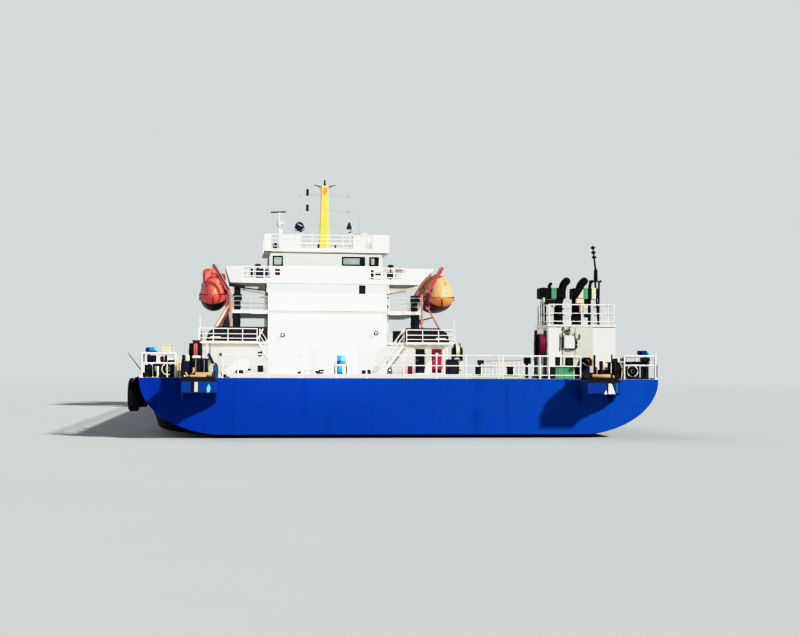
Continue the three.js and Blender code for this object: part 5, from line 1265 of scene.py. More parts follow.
def house_fittings():
    shape = Shape()
    # Round floodlights on the aft face, aimed aft, and a ringed port below the port one
    for x, h in ((-3.48, 3.02), (3.74, 3.22)):
        profile = [(0, -0.12), (0.15, -0.12), (0.19, -0.08), (0.2, -0.02), (0.12, 0.16), (0, 0.2)]
        shape.use("black").turned(profile, "t", (x, 44.76, h), 24)
        shape.use("lamp").disc((x, 44.635, h), 0.1, 0.02, "t", 24, 0.005)
        shape.use("black").disc((x + 0.02, 44.62, h - 0.02), 0.05, 0.02, "t", 16, 0.004)
        shape.bar((x, 44.88, h), (x, 45.0, h), 0.05)
        shape.box((x - 0.08, x + 0.08), (44.98, 45.0), (h - 0.12, h + 0.12))
    shape.use("steel").ring((-2.15, 44.985, 1.48), 0.16, 0.05, 0.03)
    for x in (-4.1, -0.4, 2.7):
        shape.use("wall").box((x - 0.24, x + 0.24), (44.975, 45.01), (3.66, 4.16), 0.02)
        shape.use("white").box((x - 0.15, x + 0.15), (44.965, 45.0), (3.76, 4.06), 0.02)
    for (x0, x1), t, *_ in DOORS.values():
        for a, b, c, d in ((x0 - 0.14, x1 + 0.14, 2.06, 2.12), (x0 - 0.14, x0 - 0.07, 0.05, 2.12),
                           (x1 + 0.12, x1 + 0.18, 0.05, 2.12), (x0 - 0.14, x1 + 0.14, 0.05, 0.11)):
            shape.use("white").box((a, b), (t - 0.05, t + 0.005), (c, d), 0.008)
    # Blue drums abaft the house: one stands, one lies on a rack above it. The lying drum's starboard half is
    # cyan, a painted highlight on its sunlit side, and the deep blue block under its port half is painted
    # shade
    profile = [(0, 0.16), (0.27, 0.16), (0.29, 0.2), (0.29, 0.42), (0.3, 0.44), (0.29, 0.46), (0.29, 0.7),
               (0.27, 0.75), (0, 0.75)]
    shape.use("sky_blue").turned(profile, "h", (0.7, DRUMS, 0), 28)
    shape.use("cyan").disc((1.03, DRUMS, 1.2), 0.3, 0.4, "x", 28, 0.05)
    shape.use("sky_blue").disc((0.64, DRUMS, 1.2), 0.33, 0.36, "x", 28, 0.04)
    shape.use("deep_blue").box((0.48, 0.82), (DRUMS - 0.34, DRUMS - 0.1), (0.88, 1.02), 0.03)
    shape.blocks([(0.38, 1.3, 0.8, 0.87, "black"), (0.38, 1.03, 0.0, 0.16, "black"),
                  (0.38, 0.44, 0.0, 0.82, "black"), (1.24, 1.3, 0.0, 0.82, "black")],
                  (DRUMS - 0.3, DRUMS + 0.3), soft=0.01)
    for t, rows in DECK_GEAR:
        shape.blocks(rows, t, soft=0.03)
    shape.use("black").disc((4.75, 44.2, 0.37), 0.18, 0.12, "t", 24, 0.03)
    shape.box((4.7, 4.8), (44.15, 44.25), (0, 0.25))
    shape.use("rail").disc((4.75, 44.12, 0.37), 0.08, 0.04, "t", 18)
    for x, t, h0, h1, colour, r in WALL_PIPES:
        shape.use(colour).tube([(x, t, h0), (x, t, h1)], r)
    shape.blocks([(-4.8, -4.6, 6.4, 6.95, "black"), (-5.26, -4.6, 5.93, 6.0, "black"),
                  (-4.76, -4.6, 5.45, 5.8, "black"), (4.6, 4.85, 5.94, 6.06, "machine"),
                  (4.6, 4.82, 5.2, 5.42, "machine")], (45.1, 45.5))
    # Vent boxes and doors on the tiers' sides
    for s in (-1, 1):
        for t in (46.9, 51.3):
            shape.use("cream").box((s * CORE_HALF, s * (CORE_HALF + 0.28)), (t, t + 0.4), (2.7, 3.3), 0.03)
        for x, t, h0, h1 in ((CORE_HALF, 49.6, 2.68, 4.52), (CORE_HALF, 51.6, 5.05, 6.72),
                             (WHEELHOUSE_HALF, 48.0, 7.48, 9.32)):
            shape.use("white").box((s * x, s * (x + 0.05)), (t - 0.45, t + 0.45), (h0, h1), 0.015)
            panel = (t - 0.33, t + 0.33)
            shape.use("casing").box((s * x, s * (x + 0.065)), panel, (h0 + 0.12, h1 - 0.12), 0.02)
            shape.use("steel").box((s * x, s * (x + 0.12)), (t + 0.3, t + 0.36), (h0 + 0.8, h0 + 1.0), 0.01)
    return shape


piece("house_fittings", house_fittings())

# Decks of the house

EDGE = 0.07  # From a deck's edge to the middle of its railing


def boat_deck():
    shape = Shape()
    aft, fore, port, starboard = 43.2, 57.3, -9.9, 9.7
    outline = [(port, aft), (-5.4, aft), (-5.4, 45), (5.85, 45), (5.85, aft), (starboard, aft),
               (starboard, fore), (port, fore)]
    shape.prism(outline, "h", BOAT_DECK - 0.15, BOAT_DECK, 0.012, "upper_deck")
    for x in (-9.2, 9.03):
        shape.use("white").post(x, 43.5, 0.005, BOAT_DECK - 0.1, 0.09, 16)
        shape.box((x - 0.16, x + 0.16), (43.34, 43.66), (0.005, 0.04))
    for x in (-8.6, -7.6, -6.6, 6.6, 7.6, 8.4):
        shape.box((x - 0.03, x + 0.03), (43.25, 46.1), (BOAT_DECK - 0.24, BOAT_DECK - 0.14), 0.01)
    legs = [(-5.47, aft + EDGE), (port + EDGE, aft + EDGE), (port + EDGE, fore - EDGE),
            (starboard - EDGE, fore - EDGE), (starboard - EDGE, aft + EDGE), (5.92, aft + EDGE)]
    railing(shape.use("rail"), legs, BOAT_DECK, 1.08, (0.22, 0.55, 0.95))
    for x, top in ((-9.74, 4.37), (9.6, 4.2)):
        shape.post(x, aft + 0.1, BOAT_DECK, top, 0.022, 8)
    return shape


piece("boat_deck_plates", boat_deck(), "boat_deck")


def gallery():
    shape = Shape()
    aft, fore, recess = 44.7, 55.5, CORE_HALF + 0.03
    low = GALLERY_DECK - 0.24
    fine = {"bar": 0.016, "post": 0.02}
    for s, edge in ((-1, 7.32), (1, 7.25)):
        outline = [(s * x, t) for x, t in ((recess, aft), (edge, aft), (edge, 46.17), (6.67, 46.17),
                                           (6.67, 46.73), (edge, 46.73), (edge, fore), (recess, fore))]
        shape.use("white").prism(outline, "h", low, GALLERY_DECK, 0.012, "upper_deck")
        shape.use("casing").box((s * (recess + 0.1), s * 5.9), (aft - 0.004, aft + 0.1),
                                (low - 0.05, low + 0.02), 0.01)
        rail_x, inner = s * (edge - EDGE), s * (recess + EDGE)
        railing(shape.use("casing"), [(inner, aft + EDGE), (rail_x, aft + EDGE), (rail_x, 46.1)],
                GALLERY_DECK, 1.4, **fine)
        railing(shape, [(rail_x, 46.8), (rail_x, fore - EDGE), (inner, fore - EDGE)], GALLERY_DECK, 1.4,
                **fine)
    shape.use("white").box((-recess, recess), (45.2, fore), (low, GALLERY_DECK - 0.02))
    return shape


piece("gallery_plates", gallery(), "gallery_deck")

# Side, then the end panel's foot and head, and where its aft panel stops
WING_ENDS = [(-1, 7.52, 7.9, 6.55), (1, 7.0, 8.2, 5.95)]
WING_AFT, WING_FORE, WING_TOP, BULWARK_TOP = 44.3, 49.5, 8.22, 8.35
BRIDGE_GEAR = [
    (-6.4, -6.13, 0.1, 0.72, "casing"), (-5.98, -5.67, 0.1, 0.72, "machine"),
    (-5.57, -4.95, 0.05, 0.74, "navy"), (-4.88, -4.65, 0.1, 0.7, "machine"),
    (-4.55, -4.36, 0.1, 0.66, "casing"), (-4.19, -3.73, 0.26, 0.76, "maroon"),
    (3.25, 3.5, 0.1, 0.75, "machine"), (3.62, 4.07, 0.35, 0.6, "machine"), (4.54, 5.07, 0.1, 0.62, "machine"),
    (5.24, 5.7, 0.5, 0.84, "pink"), (5.24, 5.7, 0.1, 0.5, "casing"), (3.2, 4.3, 0.0, 0.08, "machine"),
]


def bridge():
    shape = Shape()
    low = BRIDGE_DECK - 0.35

    def flare(row, h):
        s, foot, head, _ = row
        return s * (foot + (head - foot) * (h - low) / (WING_TOP - low))

    slab = [(flare(row, h), h) for row, h in ((WING_ENDS[0], low), (WING_ENDS[1], low),
                                              (WING_ENDS[1], BRIDGE_DECK), (WING_ENDS[0], BRIDGE_DECK))]
    shape.prism(slab, "t", WING_AFT, WING_FORE, 0.012)
    shape.box((-5.2, 5.2), (WING_FORE - 0.5, 54.8), (low, BRIDGE_DECK), 0.02)
    shape.use("upper_deck").box((-7.4, 7.0), (WING_AFT + 0.12, WING_FORE - 0.1),
                                (BRIDGE_DECK - 0.02, BRIDGE_DECK + 0.006), 0.003)
    plate = (WING_AFT - 0.004, WING_AFT + 0.08)
    shape.use("white").box((-3.36, 3.2), plate, (low + 0.012, BULWARK_TOP), 0.012)
    shape.box((-3.38, 3.22), (WING_AFT - 0.02, WING_AFT + 0.1), (BULWARK_TOP - 0.05, BULWARK_TOP), 0.015)
    for row in WING_ENDS:
        s, foot, head, inner = row
        face = [(s * inner, low + 0.012), (flare(row, low + 0.012), low + 0.012),
                (flare(row, WING_TOP), WING_TOP), (s * inner, WING_TOP)]
        side = [(flare(row, low) - s * 0.08, low), (flare(row, low), low), (flare(row, WING_TOP), WING_TOP),
                (flare(row, WING_TOP) - s * 0.08, WING_TOP)]
        # The port end panel is grey: painted shade on a white panel.
        shape.use("white_in_painted_shade" if s < 0 else "white").prism(face, "t", WING_AFT - 0.004, WING_AFT + 0.08, 0.01)
        shape.use("white").prism(face, "t", WING_FORE - 0.08, WING_FORE + 0.004, 0.01)
        shape.prism(side, "t", WING_AFT - 0.002, WING_FORE + 0.002, 0.01)
        for t in (WING_AFT, WING_FORE - 0.08):
            cap = (t - 0.012, t + 0.092)
            shape.box((s * inner, s * (head - 0.01)), cap, (WING_TOP - 0.04, WING_TOP), 0.012)
        wall = (CORE_HALF + 0.06, 6.42)
        near = [("navy", (7.6, 6.86), (6.39, 6.66), 0.22), ("navy", (6.5, 6.62), wall, 0.09)]
        plain = [("cream", (6.6, 6.75), wall, 0.12)]
        for t, struts in ((44.9, near if s < 0 else plain), (49.0, plain)):
            for colour, (x0, h0), (x1, h1), deep in struts:
                shape.use(colour).bar((s * x0, t, h0), (s * x1, t, h1), 0.12, deep)
        shape.use("white").box((s * (CORE_HALF + 0.02), s * (CORE_HALF + 0.14)), (44.7, 49.2),
                               (6.3, low + 0.1))
    aft, fore, side = WING_AFT + 0.05, WING_FORE - 0.05, 5.15
    for legs in ([(-6.55, aft), (-3.36, aft)], [(3.2, aft), (5.95, aft)],
                 [(5.95, fore), (side, fore), (side, 54.75), (-side, 54.75), (-side, fore), (-6.55, fore)]):
        railing(shape.use("rail"), legs, BRIDGE_DECK, 0.8, (0.16, 0.51, 0.87), 0.03)
    shape.blocks(BRIDGE_GEAR, (WING_AFT + 0.15, WING_AFT + 0.5), BRIDGE_DECK, 0.03)
    for x, h in ((-5.42, 8.36), (4.84, 8.44)):
        shape.use("black").ball((x, WING_AFT + 0.4, h), 0.25, "h", 20, 0.45)
        shape.post(x, WING_AFT + 0.4, BRIDGE_DECK, h, 0.05)
    return shape


piece("bridge_plates", bridge(), "bridge_deck")

ROOF_GEAR = [
    (-2.0, -0.85, 0.22, 0.3, "casing"), (-1.5, -1.42, -0.1, 0.24, "casing"),
    (-1.0, -0.92, -0.1, 0.24, "casing"), (-0.72, -0.58, -0.1, 0.34, "machine"),
    (0.62, 0.72, -0.1, 0.32, "machine"), (0.85, 0.93, -0.1, 0.32, "casing"),
    (1.05, 1.4, 0.24, 0.32, "casing"), (1.2, 1.28, -0.1, 0.26, "casing"),
]


def compass():
    shape = Shape()
    half, aft, fore, low, steps = 4.9, 45.9, 53.0, ROOF - 0.33, 24
    tops = [half - 2 * half * i / steps for i in range(steps + 1)]
    outline = [(-half, low), (half, low)] + [(x, ROOF - 0.04 - 0.12 * (x / half) ** 2) for x in tops]
    shape.prism(outline, "t", aft, fore, 0.015)
    # The fascia's port end is grey: painted shade
    shape.use("casing").box((-4.89, -3.68), (aft - 0.006, aft + 0.05), (low + 0.01, ROOF - 0.12), 0.006)
    for x0, x1, top in ((-3.6, -2.1, 1.03), (2.06, 3.5, 1.05)):
        shape.use("white").box((x0, x1), (46.4, 47.1), (ROOF - 0.15, ROOF + top - 0.02), 0.03)
        shape.box((x0 - 0.03, x1 + 0.03), (46.37, 47.13), (ROOF + top - 0.08, ROOF + top), 0.02)
        for x in (x0 + 0.35, x1 - 0.35):
            shape.use("steel").box((x - 0.03, x + 0.03), (46.36, 46.4), (ROOF + 0.6, ROOF + 0.75), 0.01)
    shape.blocks([(-4.9, -4.4, -0.15, 0.96, "white"), (3.55, 4.85, -0.15, 1.05, "white")], (aft, aft + 0.06),
                 ROOF, 0.012)
    ring = [(-half + EDGE, aft + EDGE), (half - EDGE, aft + EDGE), (half - EDGE, fore - EDGE),
            (-half + EDGE, fore - EDGE), (-half + EDGE, aft + EDGE)]
    railing(shape.use("rail"), ring, ROOF - 0.17, 1.2, (0.55, 0.85, 1.15), 0.02, 0.022)
    # Tank and frame on the lockers, horns and wiring boxes behind the rail
    shape.use("casing").disc((2.95, 46.75, ROOF + 1.17), 0.13, 0.5, "x", 20, 0.03)
    shape.use("steel").box((-3.2, -2.9), (46.5, 46.7), (ROOF + 1.02, ROOF + 1.14), 0.02)
    shape.use("rail").ring((-4.05, aft + 0.14, ROOF + 0.22), 0.16, 0.03, 0.02)
    horn = [(0, 0.35), (0.06, 0.3), (0.1, 0.05), (0.2, -0.2), (0.22, -0.25), (0.18, -0.25), (0, -0.1)]
    shape.use("navy").turned(horn, "t", (-4.05, aft + 0.4, ROOF + 0.22), 20)
    shape.blocks([(-4.2, -3.9, -0.1, 0.12, "machine")], (aft + 0.3, aft + 0.6), ROOF)
    shape.blocks(ROOF_GEAR, (aft + 0.7, aft + 1.0), ROOF, 0.03)
    # Black bar under the fascia's port end: painted shadow
    shape.use("black").box((-4.9, -4.38), (aft, aft + 0.3), (low - 0.06, low), 0.01)
    return shape


piece("compass_plates", compass(), "compass_deck")


def stair(s, foot, head):
    t, low = 43.75, 0.005
    top = BOAT_DECK - 0.03
    shape = Shape(s, "white")
    for y in (t - 0.36, t + 0.36):
        stringer = [(head, top), (head, top - 0.3), (foot + 0.2, low), (foot, low)]
        shape.prism(stringer, "t", y - 0.03, y + 0.03, 0.008)
    count = 11
    for i in range(1, count + 1):
        share = i / (count + 0.6)
        x, h = foot + 0.1 + (head - foot) * share, low + (top - low) * share - 0.1
        shape.use("steel").box((x - 0.1, x + 0.1), (t - 0.33, t + 0.33), (h - 0.02, h + 0.02), 0.008)
    shape.use("rail")
    for y in (t - 0.36, t + 0.36):
        for lift in (0.5, 0.98):
            shape.tube([(foot + 0.02, y, lift + 0.06), (head, y, top + lift)], 0.02)
        for share in (0.02, 0.34, 0.67, 1.0):
            x, h = foot + 0.08 + (head - foot - 0.08) * share, low + (top - low) * share
            shape.tube([(x, y, h), (x, y, h + 1.0)], 0.018)
    return shape


for (side, s), foot, head in zip(SIDES, (3.75, 3.95), (5.28, 5.73)):
    piece(f"stair_flight_{side}", stair(s, foot, head), f"stair_{side}")

# Lifeboats and davits

BOAT_AFT, BOAT_FORE, BOAT_HEIGHT, GUNWALE = 44.1, 51.1, 3.0, 1.3
BOAT_SECTION = [
    (0.06, 0), (0.35, 0.05), (0.62, 0.16), (0.86, 0.34), (1.02, 0.55), (1.13, 0.78), (1.2, 1.0), (1.24, 1.14),
    (1.26, 1.16), (1.26, 1.21), (1.24, 1.23), (1.19, 1.5), (1.12, 1.75), (1.03, 2.0), (0.92, 2.22),
    (0.78, 2.45), (0.6, 2.68), (0.42, 2.86), (0.22, 2.97), (0.06, 3.0),
]
# Share of the length, of the breadth, rise of the keel, share of the height
BOAT_STATIONS = [(0, 0.1, 1.05, 0.42), (0.06, 0.6, 0.45, 0.7), (0.2, 0.93, 0.08, 0.96), (0.5, 1, 0, 1),
                 (0.8, 0.93, 0.1, 0.95), (0.93, 0.6, 0.45, 0.72), (1, 0.14, 0.9, 0.42)]
DAVIT_LINE = [(8.9, 2.95), (7.62, 5.2), (7.62, 6.4), (8.8, 8.3)]
DAVIT_ARMS = (43.9, 51.3)
LOOPS = 14  # Points of a lifeline that hangs in loops


def lifeboat(side, s):
    """Closed lifeboat: pear-shaped section, dark keel, gunwale line, lifelines, hooks and hatch."""
    top, low = f"boat_{side}", f"boat_low_{side}"
    shape = Shape(s, top)
    beam, crown = (0.88, 1.5) if side == "port" else (1.0, 1.0)
    firsts = spline([row[:3] for row in BOAT_STATIONS], 5)
    highs = spline([(row[3], 0, 0) for row in BOAT_STATIONS], 5)
    length, rings = BOAT_FORE - BOAT_AFT, []
    for (share, wide, rise), (high, _, _) in zip(firsts, highs):
        t, rise = BOAT_AFT + length * min(1, max(0, share)), max(0, rise)
        half = []
        for w, z in BOAT_SECTION:
            w = w if z < GUNWALE else w ** (1 / crown)
            lift = rise + z / BOAT_HEIGHT * (BOAT_HEIGHT * min(1, high) - rise)
            half.append((w * beam * min(1, wide), KEEL + lift))
        rings.append([(BOAT_X + w, t, h) for w, h in half] + [(BOAT_X - w, t, h) for w, h in reversed(half)])
    shape.loft(rings)
    count = len(rings[0])
    for n in range((len(rings) - 1) * count):
        k = min(n % count, count - 2 - n % count)
        shape.paints[n] = low if k < 7 else "rubber" if k < 10 else top
    # Steering cupola with its windows, hatches, side ports and a pad at the after end
    shape.box((BOAT_X - 0.34, BOAT_X + 0.34), (45.5, 46.5), (KEEL + 2.5, KEEL + 3.02), 0.12)
    if side == "port":
        shape.use(low).box((BOAT_X + 0.08, BOAT_X + 0.8), (44.9, 46.2), (KEEL + 2.0, KEEL + 3.12), 0.18)
        shape.box((BOAT_X - 0.92, BOAT_X - 0.48), (44.9, 46.2), (KEEL + 1.8, KEEL + 2.75), 0.14)
    shape.use(top).blocks([(BOAT_X + x, BOAT_X + x + 0.22, 2.72, 2.92, "dark_pane") for x in (-0.26, 0.04)],
                          (45.485, 45.52), KEEL)
    for t in (46.8, 47.6, 48.4, 49.2):
        for e in (-1, 1):
            shape.disc((BOAT_X + e * beam * 1.045, t, KEEL + 1.98), 0.1, 0.05, "x", 20)
    shape.use(low).box((BOAT_X - 0.25, BOAT_X + 0.25), (44.35, 44.5), (KEEL + 1.3, KEEL + 1.75), 0.05)
    for e in (-1, 1):
        points = []
        for k in range(LOOPS + 1):
            share = 0.14 + 0.72 * k / LOOPS
            points.append((BOAT_X + e * beam * (1.235 - 7.2 * (share - 0.5) ** 4), BOAT_AFT + length * share,
                           KEEL + 1.14 - (0.28 if k % 2 else 0.0)))
        shape.use("rope_tan").tube(points, 0.018, 6, 4)
    # Hooks, the falls' blocks and the rudder
    for t in (45.2, 50.0):
        shape.use("pink").box((BOAT_X - 0.09, BOAT_X + 0.09), (t - 0.12, t + 0.12), (KEEL + 2.45, 8.2), 0.02)
        shape.disc((BOAT_X, t, 8.02), 0.16, 0.2, "t", 20, 0.03)
        shape.use(top).turned([(0, 0), (0.3, 0), (0.24, 0.14), (0.14, 0.22), (0, 0.22)], "h",
                              (BOAT_X, t, KEEL + 2.8), 20)
    shape.use("black").box((BOAT_X - 0.03, BOAT_X + 0.03), (44.12, 44.42), (KEEL + 0.3, KEEL + 0.95), 0.01)
    return shape


def davit_arms(s):
    """Square arms with side plates, gussets, sheaves, hoist bars and the falls."""
    shape = Shape(s, "pink")
    for n, t in enumerate(DAVIT_ARMS):
        inward = 1 if n == 0 else -1
        for k, ((x0, h0), (x1, h1)) in enumerate(zip(DAVIT_LINE, DAVIT_LINE[1:])):
            wide = 0.22 if k else (0.12 if s > 0 else 0.28)
            shape.use("maroon" if k == 1 and s > 0 else "pink")
            shape.bar((x0, t, h0), (x1, t, h1), min(0.19, wide), wide, 0.02)
            if k or s < 0:
                # On the port davits' lower arm this side plate is cream: a painted highlight
                shape.use("cream" if k == 0 else "maroon" if s < 0 else "red")
                shape.bar((x0, t - 0.1 * inward, h0), (x1, t - 0.1 * inward, h1), 0.015, 0.12, 0.004)
        for x, h in DAVIT_LINE[1:3]:
            shape.use("pink").disc((x, t, h), 0.15, 0.2, "t", 20, 0.02)
        for gusset in ([(7.62, 5.35), (7.62, 6.2), (7.95, 5.1)],
                       [(7.62, 6.2), (7.64, 6.5), (8.2, 7.4), (7.95, 6.5)]):
            shape.use("pink" if s < 0 else "maroon").prism(gusset, "t", t - 0.03, t + 0.03, 0.01)
        shape.use("machine").disc((8.9, t, 2.95), 0.2, 0.22, "t", 24, 0.03)
        shape.tube([(8.9, t - inward * 0.4, 2.95), (8.9, t, 2.95)], 0.08, 14)
        shape.use("pink").tube([(8.8, t - inward * 0.1, 8.3), (8.8, t + inward * 1.42, 8.3)], 0.055, 12)
        for x, d, h, r in ((8.72, 0.18, 8.24, 0.16), (7.66, 0.16, 6.42, 0.13)):
            shape.use("steel").disc((x, t + inward * d, h), r, 0.06, "t", 24, 0.02)
        falls = [(x, t + inward * 0.16, h) for x, h in ((8.66, 8.36), (7.6, 6.5), (7.56, 5.3))]
        shape.use("black").tube(falls, 0.015, 5)
    shape.use("pink").tube([(8.07, t, 4.45) for t in DAVIT_ARMS], 0.05, 10)
    return shape


def davit_frame(side, s):
    """Cradle plates, winch column with its cable loop, skid, cable drum and motor."""
    floor, near, far = BOAT_DECK + 0.002, 43.7494, 51.4506
    inner, top = {"port": (4.75, 6.75), "starboard": (5.9, 6.25)}[side]
    shape = Shape(s, "black")
    sheet = [(inner, floor), (9.3, floor), (9.1, 3.2), (8.5, 3.6), (inner, 3.6)]
    for t0, t1 in ((near - 0.3, near), (far, far + 0.3)):
        shape.prism(sheet, "t", t0, t1, 0.02)
        for x in (6.1, 6.9, 7.8) if side == "starboard" else (5.4, 6.1, 6.9, 7.8):
            shape.box((x - 0.02, x + 0.02), (t0 - 0.012, t1), (floor + 0.05, 3.55), 0.005)
    shape.box((6.7, 7.2), (46.2, 46.7), (floor, top), 0.03)
    shape.box((6.7, 7.2), (near - 0.2, far + 0.2), (floor, 2.8), 0.02)
    for h in (3.4, 4.0, 5.2, 5.9):
        shape.box((6.66, 7.24), (46.16, 46.74), (h, h + 0.08), 0.01)
    pole = 7.4 if side == "port" else 7.06
    shape.use("pink").box((pole, pole + 0.14), (near - 0.22, near - 0.08), (3.5, 6.2), 0.02)
    shape.use("cream").box((8.2, 9.0), (near - 0.31, near - 0.3), (2.7, 2.85), 0.004)
    for h, r in ((6.1, 0.045), (4.4, 0.035)):
        loop = [(7.22, 46.1, h), (7.5, 46.0, h - 0.15), (7.58, 46.0, h - 0.5), (7.42, 46.0, h - 0.75),
                (7.2, 46.1, h - 0.8)]
        shape.use("white").tube(loop, r, 8, 6)
    profile = [(0, -0.4), (0.3, -0.4), (0.3, -0.35), (0.16, -0.34), (0.16, 0.34), (0.3, 0.35), (0.3, 0.4),
               (0, 0.4)]
    shape.use("machine").turned(profile, "t", (6.3, 46.4, 3.1), 24)
    shape.box((6.1, 6.5), (45.95, 46.85), (floor, 2.8), 0.02)
    shape.use("black").blocks([(6.6, 7.3, 5.66, 6.2, "machine"), (6.9, 7.3, 3.64, 4.76, "machine")],
                              (46.0, 46.3))
    if side == "port":
        shape.use("white").bar((5.02, near - 0.31, 3.45), (5.45, near - 0.31, 2.62), 0.03, 0.1)
        shape.use("black").prism([(7.49, 3.54), (8.2, 3.54), (7.62, 4.68)], "t", near - 0.2, near - 0.14,
                                 0.01)
    return shape


for side, s in SIDES:
    piece(f"lifeboat_shell_{side}", lifeboat(side, s), f"lifeboat_{side}", f"lifeboat_{side}",
          40)
    piece(f"davit_pair_{side}", davit_arms(s), f"davit_arms_{side}", f"davit_{side}")
    piece(f"davit_cradle_{side}", davit_frame(side, s), f"davit_frame_{side}")


# Mast, radar and lamps

def mast():
    x, t, yard_t = 0.05, 50, 49.77
    base, top = ROOF - 0.05, 15.3
    shape = Shape(paint="yellow")
    rings = []
    for h, wide in ((base, 0.82), (12.0, 0.73), (14.6, 0.58), (top, 0.56)):
        a, b, c = wide / 2, 0.22, 0.05
        corners = [(-a, c - b), (c - a, -b), (a - c, -b), (a, c - b), (a, b - c), (a - c, b), (c - a, b),
                   (-a, b - c)]
        rings.append([(x + p, t + q, h) for p, q in corners])
    shape.loft(rings).box((x - 0.52, x + 0.52), (t - 0.34, t + 0.34), (base, base + 0.05))
    # Orange patch below the head, and the pink edge of the trunk
    patch = [(x - 0.2, 14.65), (x - 0.02, 14.5), (x + 0.2, 14.75), (x + 0.22, 15.15), (x - 0.1, 15.2)]
    shape.use("orange_paint").prism(patch, "t", t - 0.226, t - 0.2, 0.003)
    shape.use("pink").box((x - 0.33, x - 0.3), (t - 0.21, t - 0.16), (12.2, 15.0), 0.004)
    for e in (-1, 1):
        shape.use("machine").tube([(x + e * 0.1, t, top - 0.08), (x + e * 0.88, t, top + 0.08)], 0.03, 6)
        shape.tube([(x + e * 0.22, t, top - 0.3), (x + e * 0.6, t, top + 0.02)], 0.02, 6)
    head = [(0, 0), (0.07, 0), (0.08, 0.04), (0.08, 0.2), (0.04, 0.24), (0.07, 0.28), (0.07, 0.4),
            (0.03, 0.46), (0, 0.48)]
    shape.use("navy").turned(head, "h", (x, t, top + 0.04), 20)
    shape.use("steel")
    for h, half in ((12.05, 1.2), (13.25, 2.0), (14.5, 2.0)):
        shape.tube([(x - half, yard_t, h), (x + half, yard_t, h)], 0.015)
        for e in (-1, 1):
            shape.bar((x + e * half * 0.5, t - 0.22, h), (x + e * 0.1, t - 0.22, h + 0.35), 0.012)
            if half > 1.5:
                shape.ball((x + e * (half - 0.04), yard_t, h - 0.06), 0.06, "h", 10)
    for e in (-1, 1):
        shape.tube([(x + e * 1.95, yard_t, 14.5), (x + e * 1.95, yard_t, 13.25),
                    (x + e * 1.2, yard_t, 12.05)], 0.008, 4)
    lamp = [(0, -0.04), (0.09, -0.04), (0.11, 0), (0.11, 0.16), (0.09, 0.2), (0.11, 0.24), (0.11, 0.42),
            (0.07, 0.5), (0, 0.5)]
    for h in (14.5, 13.25):
        shape.use("black").turned(lamp, "h", (-1.36, yard_t, h), 16)
    for k in range(13):
        h, y = base + 0.35 + 0.32 * k, t - 0.29
        shape.use("yellow").tube([(x - 0.12, t - 0.2, h), (x - 0.12, y, h), (x + 0.12, y, h),
                                  (x + 0.12, t - 0.2, h)], 0.013, 6)
    return shape


piece("mast_trunk", mast(), "mast")

RADAR = (-3.7, 48)
radar = Shape(paint="casing").post(*RADAR, ROOF - 0.15, 12.64, 0.06)
profile = [(0, -0.3), (0.13, -0.3), (0.19, -0.2), (0.2, 0.05), (0.14, 0.14), (0.09, 0.2), (0.07, 0.5),
           (0, 0.52)]
radar.turned(profile, "h", (*RADAR, 12.0), 24).box((-3.6, -3.3), (47.85, 48.15), (11.85, 12.1), 0.05)
radar.use("white").box((-3.75, -3.45), (47.9, 48.1), (ROOF - 0.15, 11.5), 0.04)
piece("radar_post", radar, "radar_pedestal")
scan = Shape().disc((*RADAR, 12.73), 0.12, 0.14, "h", 20)
scan.use("machine").bar((-4.37, 48, 12.84), (-3.16, 48, 12.9), 0.2, 0.09, 0.02)
piece("radar_blade", scan, "radar_scanner", "radar_scanner")


def searchlight(side):
    """Port: a dome in a yoke. Starboard: a hooded lamp with a small horn beside it."""
    x, post, t = {"port": (-2.1, -2.0, 47.6), "starboard": (1.95, 1.9, 47.6)}[side]
    shape = Shape(paint="cream").post(post, t, ROOF - 0.15, 11.32, 0.045)
    shape.use("machine").disc((post, t, 11.3), 0.1, 0.08, "h", 20)
    if side == "port":
        for e in (-1, 1):
            shape.bar((x, t, 11.36), (x + e * 0.36, t, 11.38), 0.05)
            shape.bar((x + e * 0.36, t, 11.36), (x + e * 0.36, t, 11.72), 0.04)
        dome = [(0, -0.3), (0.14, -0.27), (0.26, -0.18), (0.33, -0.04), (0.35, 0.1), (0.35, 0.2), (0.3, 0.22),
                (0, 0.2)]
        shape.use("navy").turned(dome, "t", (x, t, 11.74), 32)
        shape.use("lamp").disc((x, t + 0.215, 11.74), 0.28, 0.02, "t", 28, 0.004)
        # Cream stripe across the navy dome's back: a painted highlight
        shape.use("cream").tube([(x - 0.2, t - 0.24, 11.9), (x, t - 0.31, 11.8), (x + 0.2, t - 0.24, 11.72)],
                                0.025, 6, 4)
    else:
        hood = [(0, 0.42), (0.07, 0.36), (0.12, 0.2), (0.2, -0.02), (0.24, -0.12), (0.2, -0.16), (0, -0.16)]
        shape.turned(hood, "h", (x - 0.1, t, 11.72), 24).bar((x, t, 11.42), (x + 0.3, t, 11.5), 0.05)
        shape.use("steel").turned([(0, 0.12), (0.1, 0.1), (0.16, -0.06), (0, -0.08)], "t",
                                  (x + 0.26, t, 11.6), 20)
    return shape


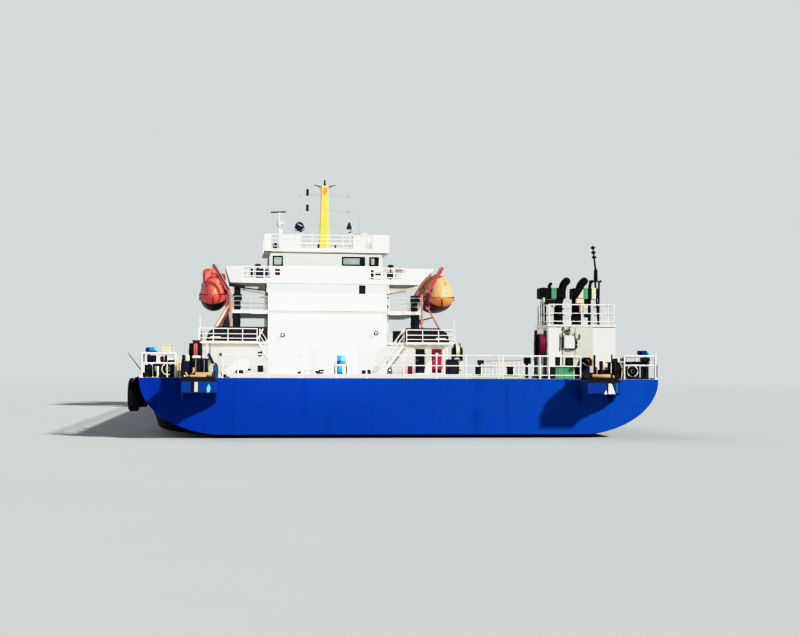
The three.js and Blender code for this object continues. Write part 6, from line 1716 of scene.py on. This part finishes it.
for side, s in SIDES:
    piece(f"searchlight_head_{side}", searchlight(side), f"searchlight_{side}")
whip = Shape(paint="steel").tube([(2.7, 48, ROOF - 0.15), (2.7, 48, 12.9)], [0.022, 0.01], 6)
piece("whip_aerial", whip)

# Bow and underwater parts

fore = Shape(paint="machine")
for e in (-1, 1):
    fore.use("machine").box((e * 5.6, e * 5.0), (62.9, 64.3), (FORE_DECK - 0.02, FORE_DECK + 0.06), 0.02)
    for t in (63.2, 64.0):
        post = [(0, 0), (0.17, 0), (0.17, 0.5), (0.22, 0.54), (0.22, 0.62), (0, 0.62)]
        fore.turned(post, "h", (e * 5.3, t, FORE_DECK), 24)
    # Chain from the windlass to its pipe, and a cowl vent beside it
    links = [(e * 0.6, 63.3 + 0.12 * k, FORE_DECK + 0.75 - 0.031 * k) for k in range(23)]
    for n, (near, far) in enumerate(zip(links, links[1:])):
        fore.use("rubber").bar(near, far, *((0.11, 0.04) if n % 2 else (0.04, 0.11)))
    fore.use("machine").turned([(0, 0), (0.3, 0), (0.3, 0.16), (0.22, 0.22), (0, 0.22)], "h",
                               (e * 0.6, 66.0, FORE_DECK - 0.02), 28)
    fore.use("white").turned([(0, 0), (0.2, 0), (0.16, 0.1), (0.16, 0.75), (0, 0.75)], "h",
                             (e * 3.4, 64.6, FORE_DECK - 0.02), 24)
    fore.turned([(0, 0), (0.3, 0.05), (0.34, 0.2), (0.2, 0.34), (0, 0.38)], "h",
                (e * 3.4, 64.6, FORE_DECK + 0.68), 24)
fore.use("white").box((-0.5, 0.5), (61.75, 62.25), (FORE_DECK - 0.02, FORE_DECK + 0.4), 0.03)
fore.use("green").box((-0.56, 0.56), (61.7, 62.28), (FORE_DECK + 0.38, FORE_DECK + 0.46), 0.02)
piece("foredeck_gear", fore)

for name, colour in (("forecastle", "forecastle"), ("fore_bulwark", "hull"), ("windlass_frame", "machine"),
                     ("windlass_drum", "machine")):
    dress(name, colour)
for side, s in SIDES:
    for part, colour in (("skeg", "bottom"), ("rudder", "bottom"), ("propeller", "bronze")):
        dress(f"{part}_{side}", colour)
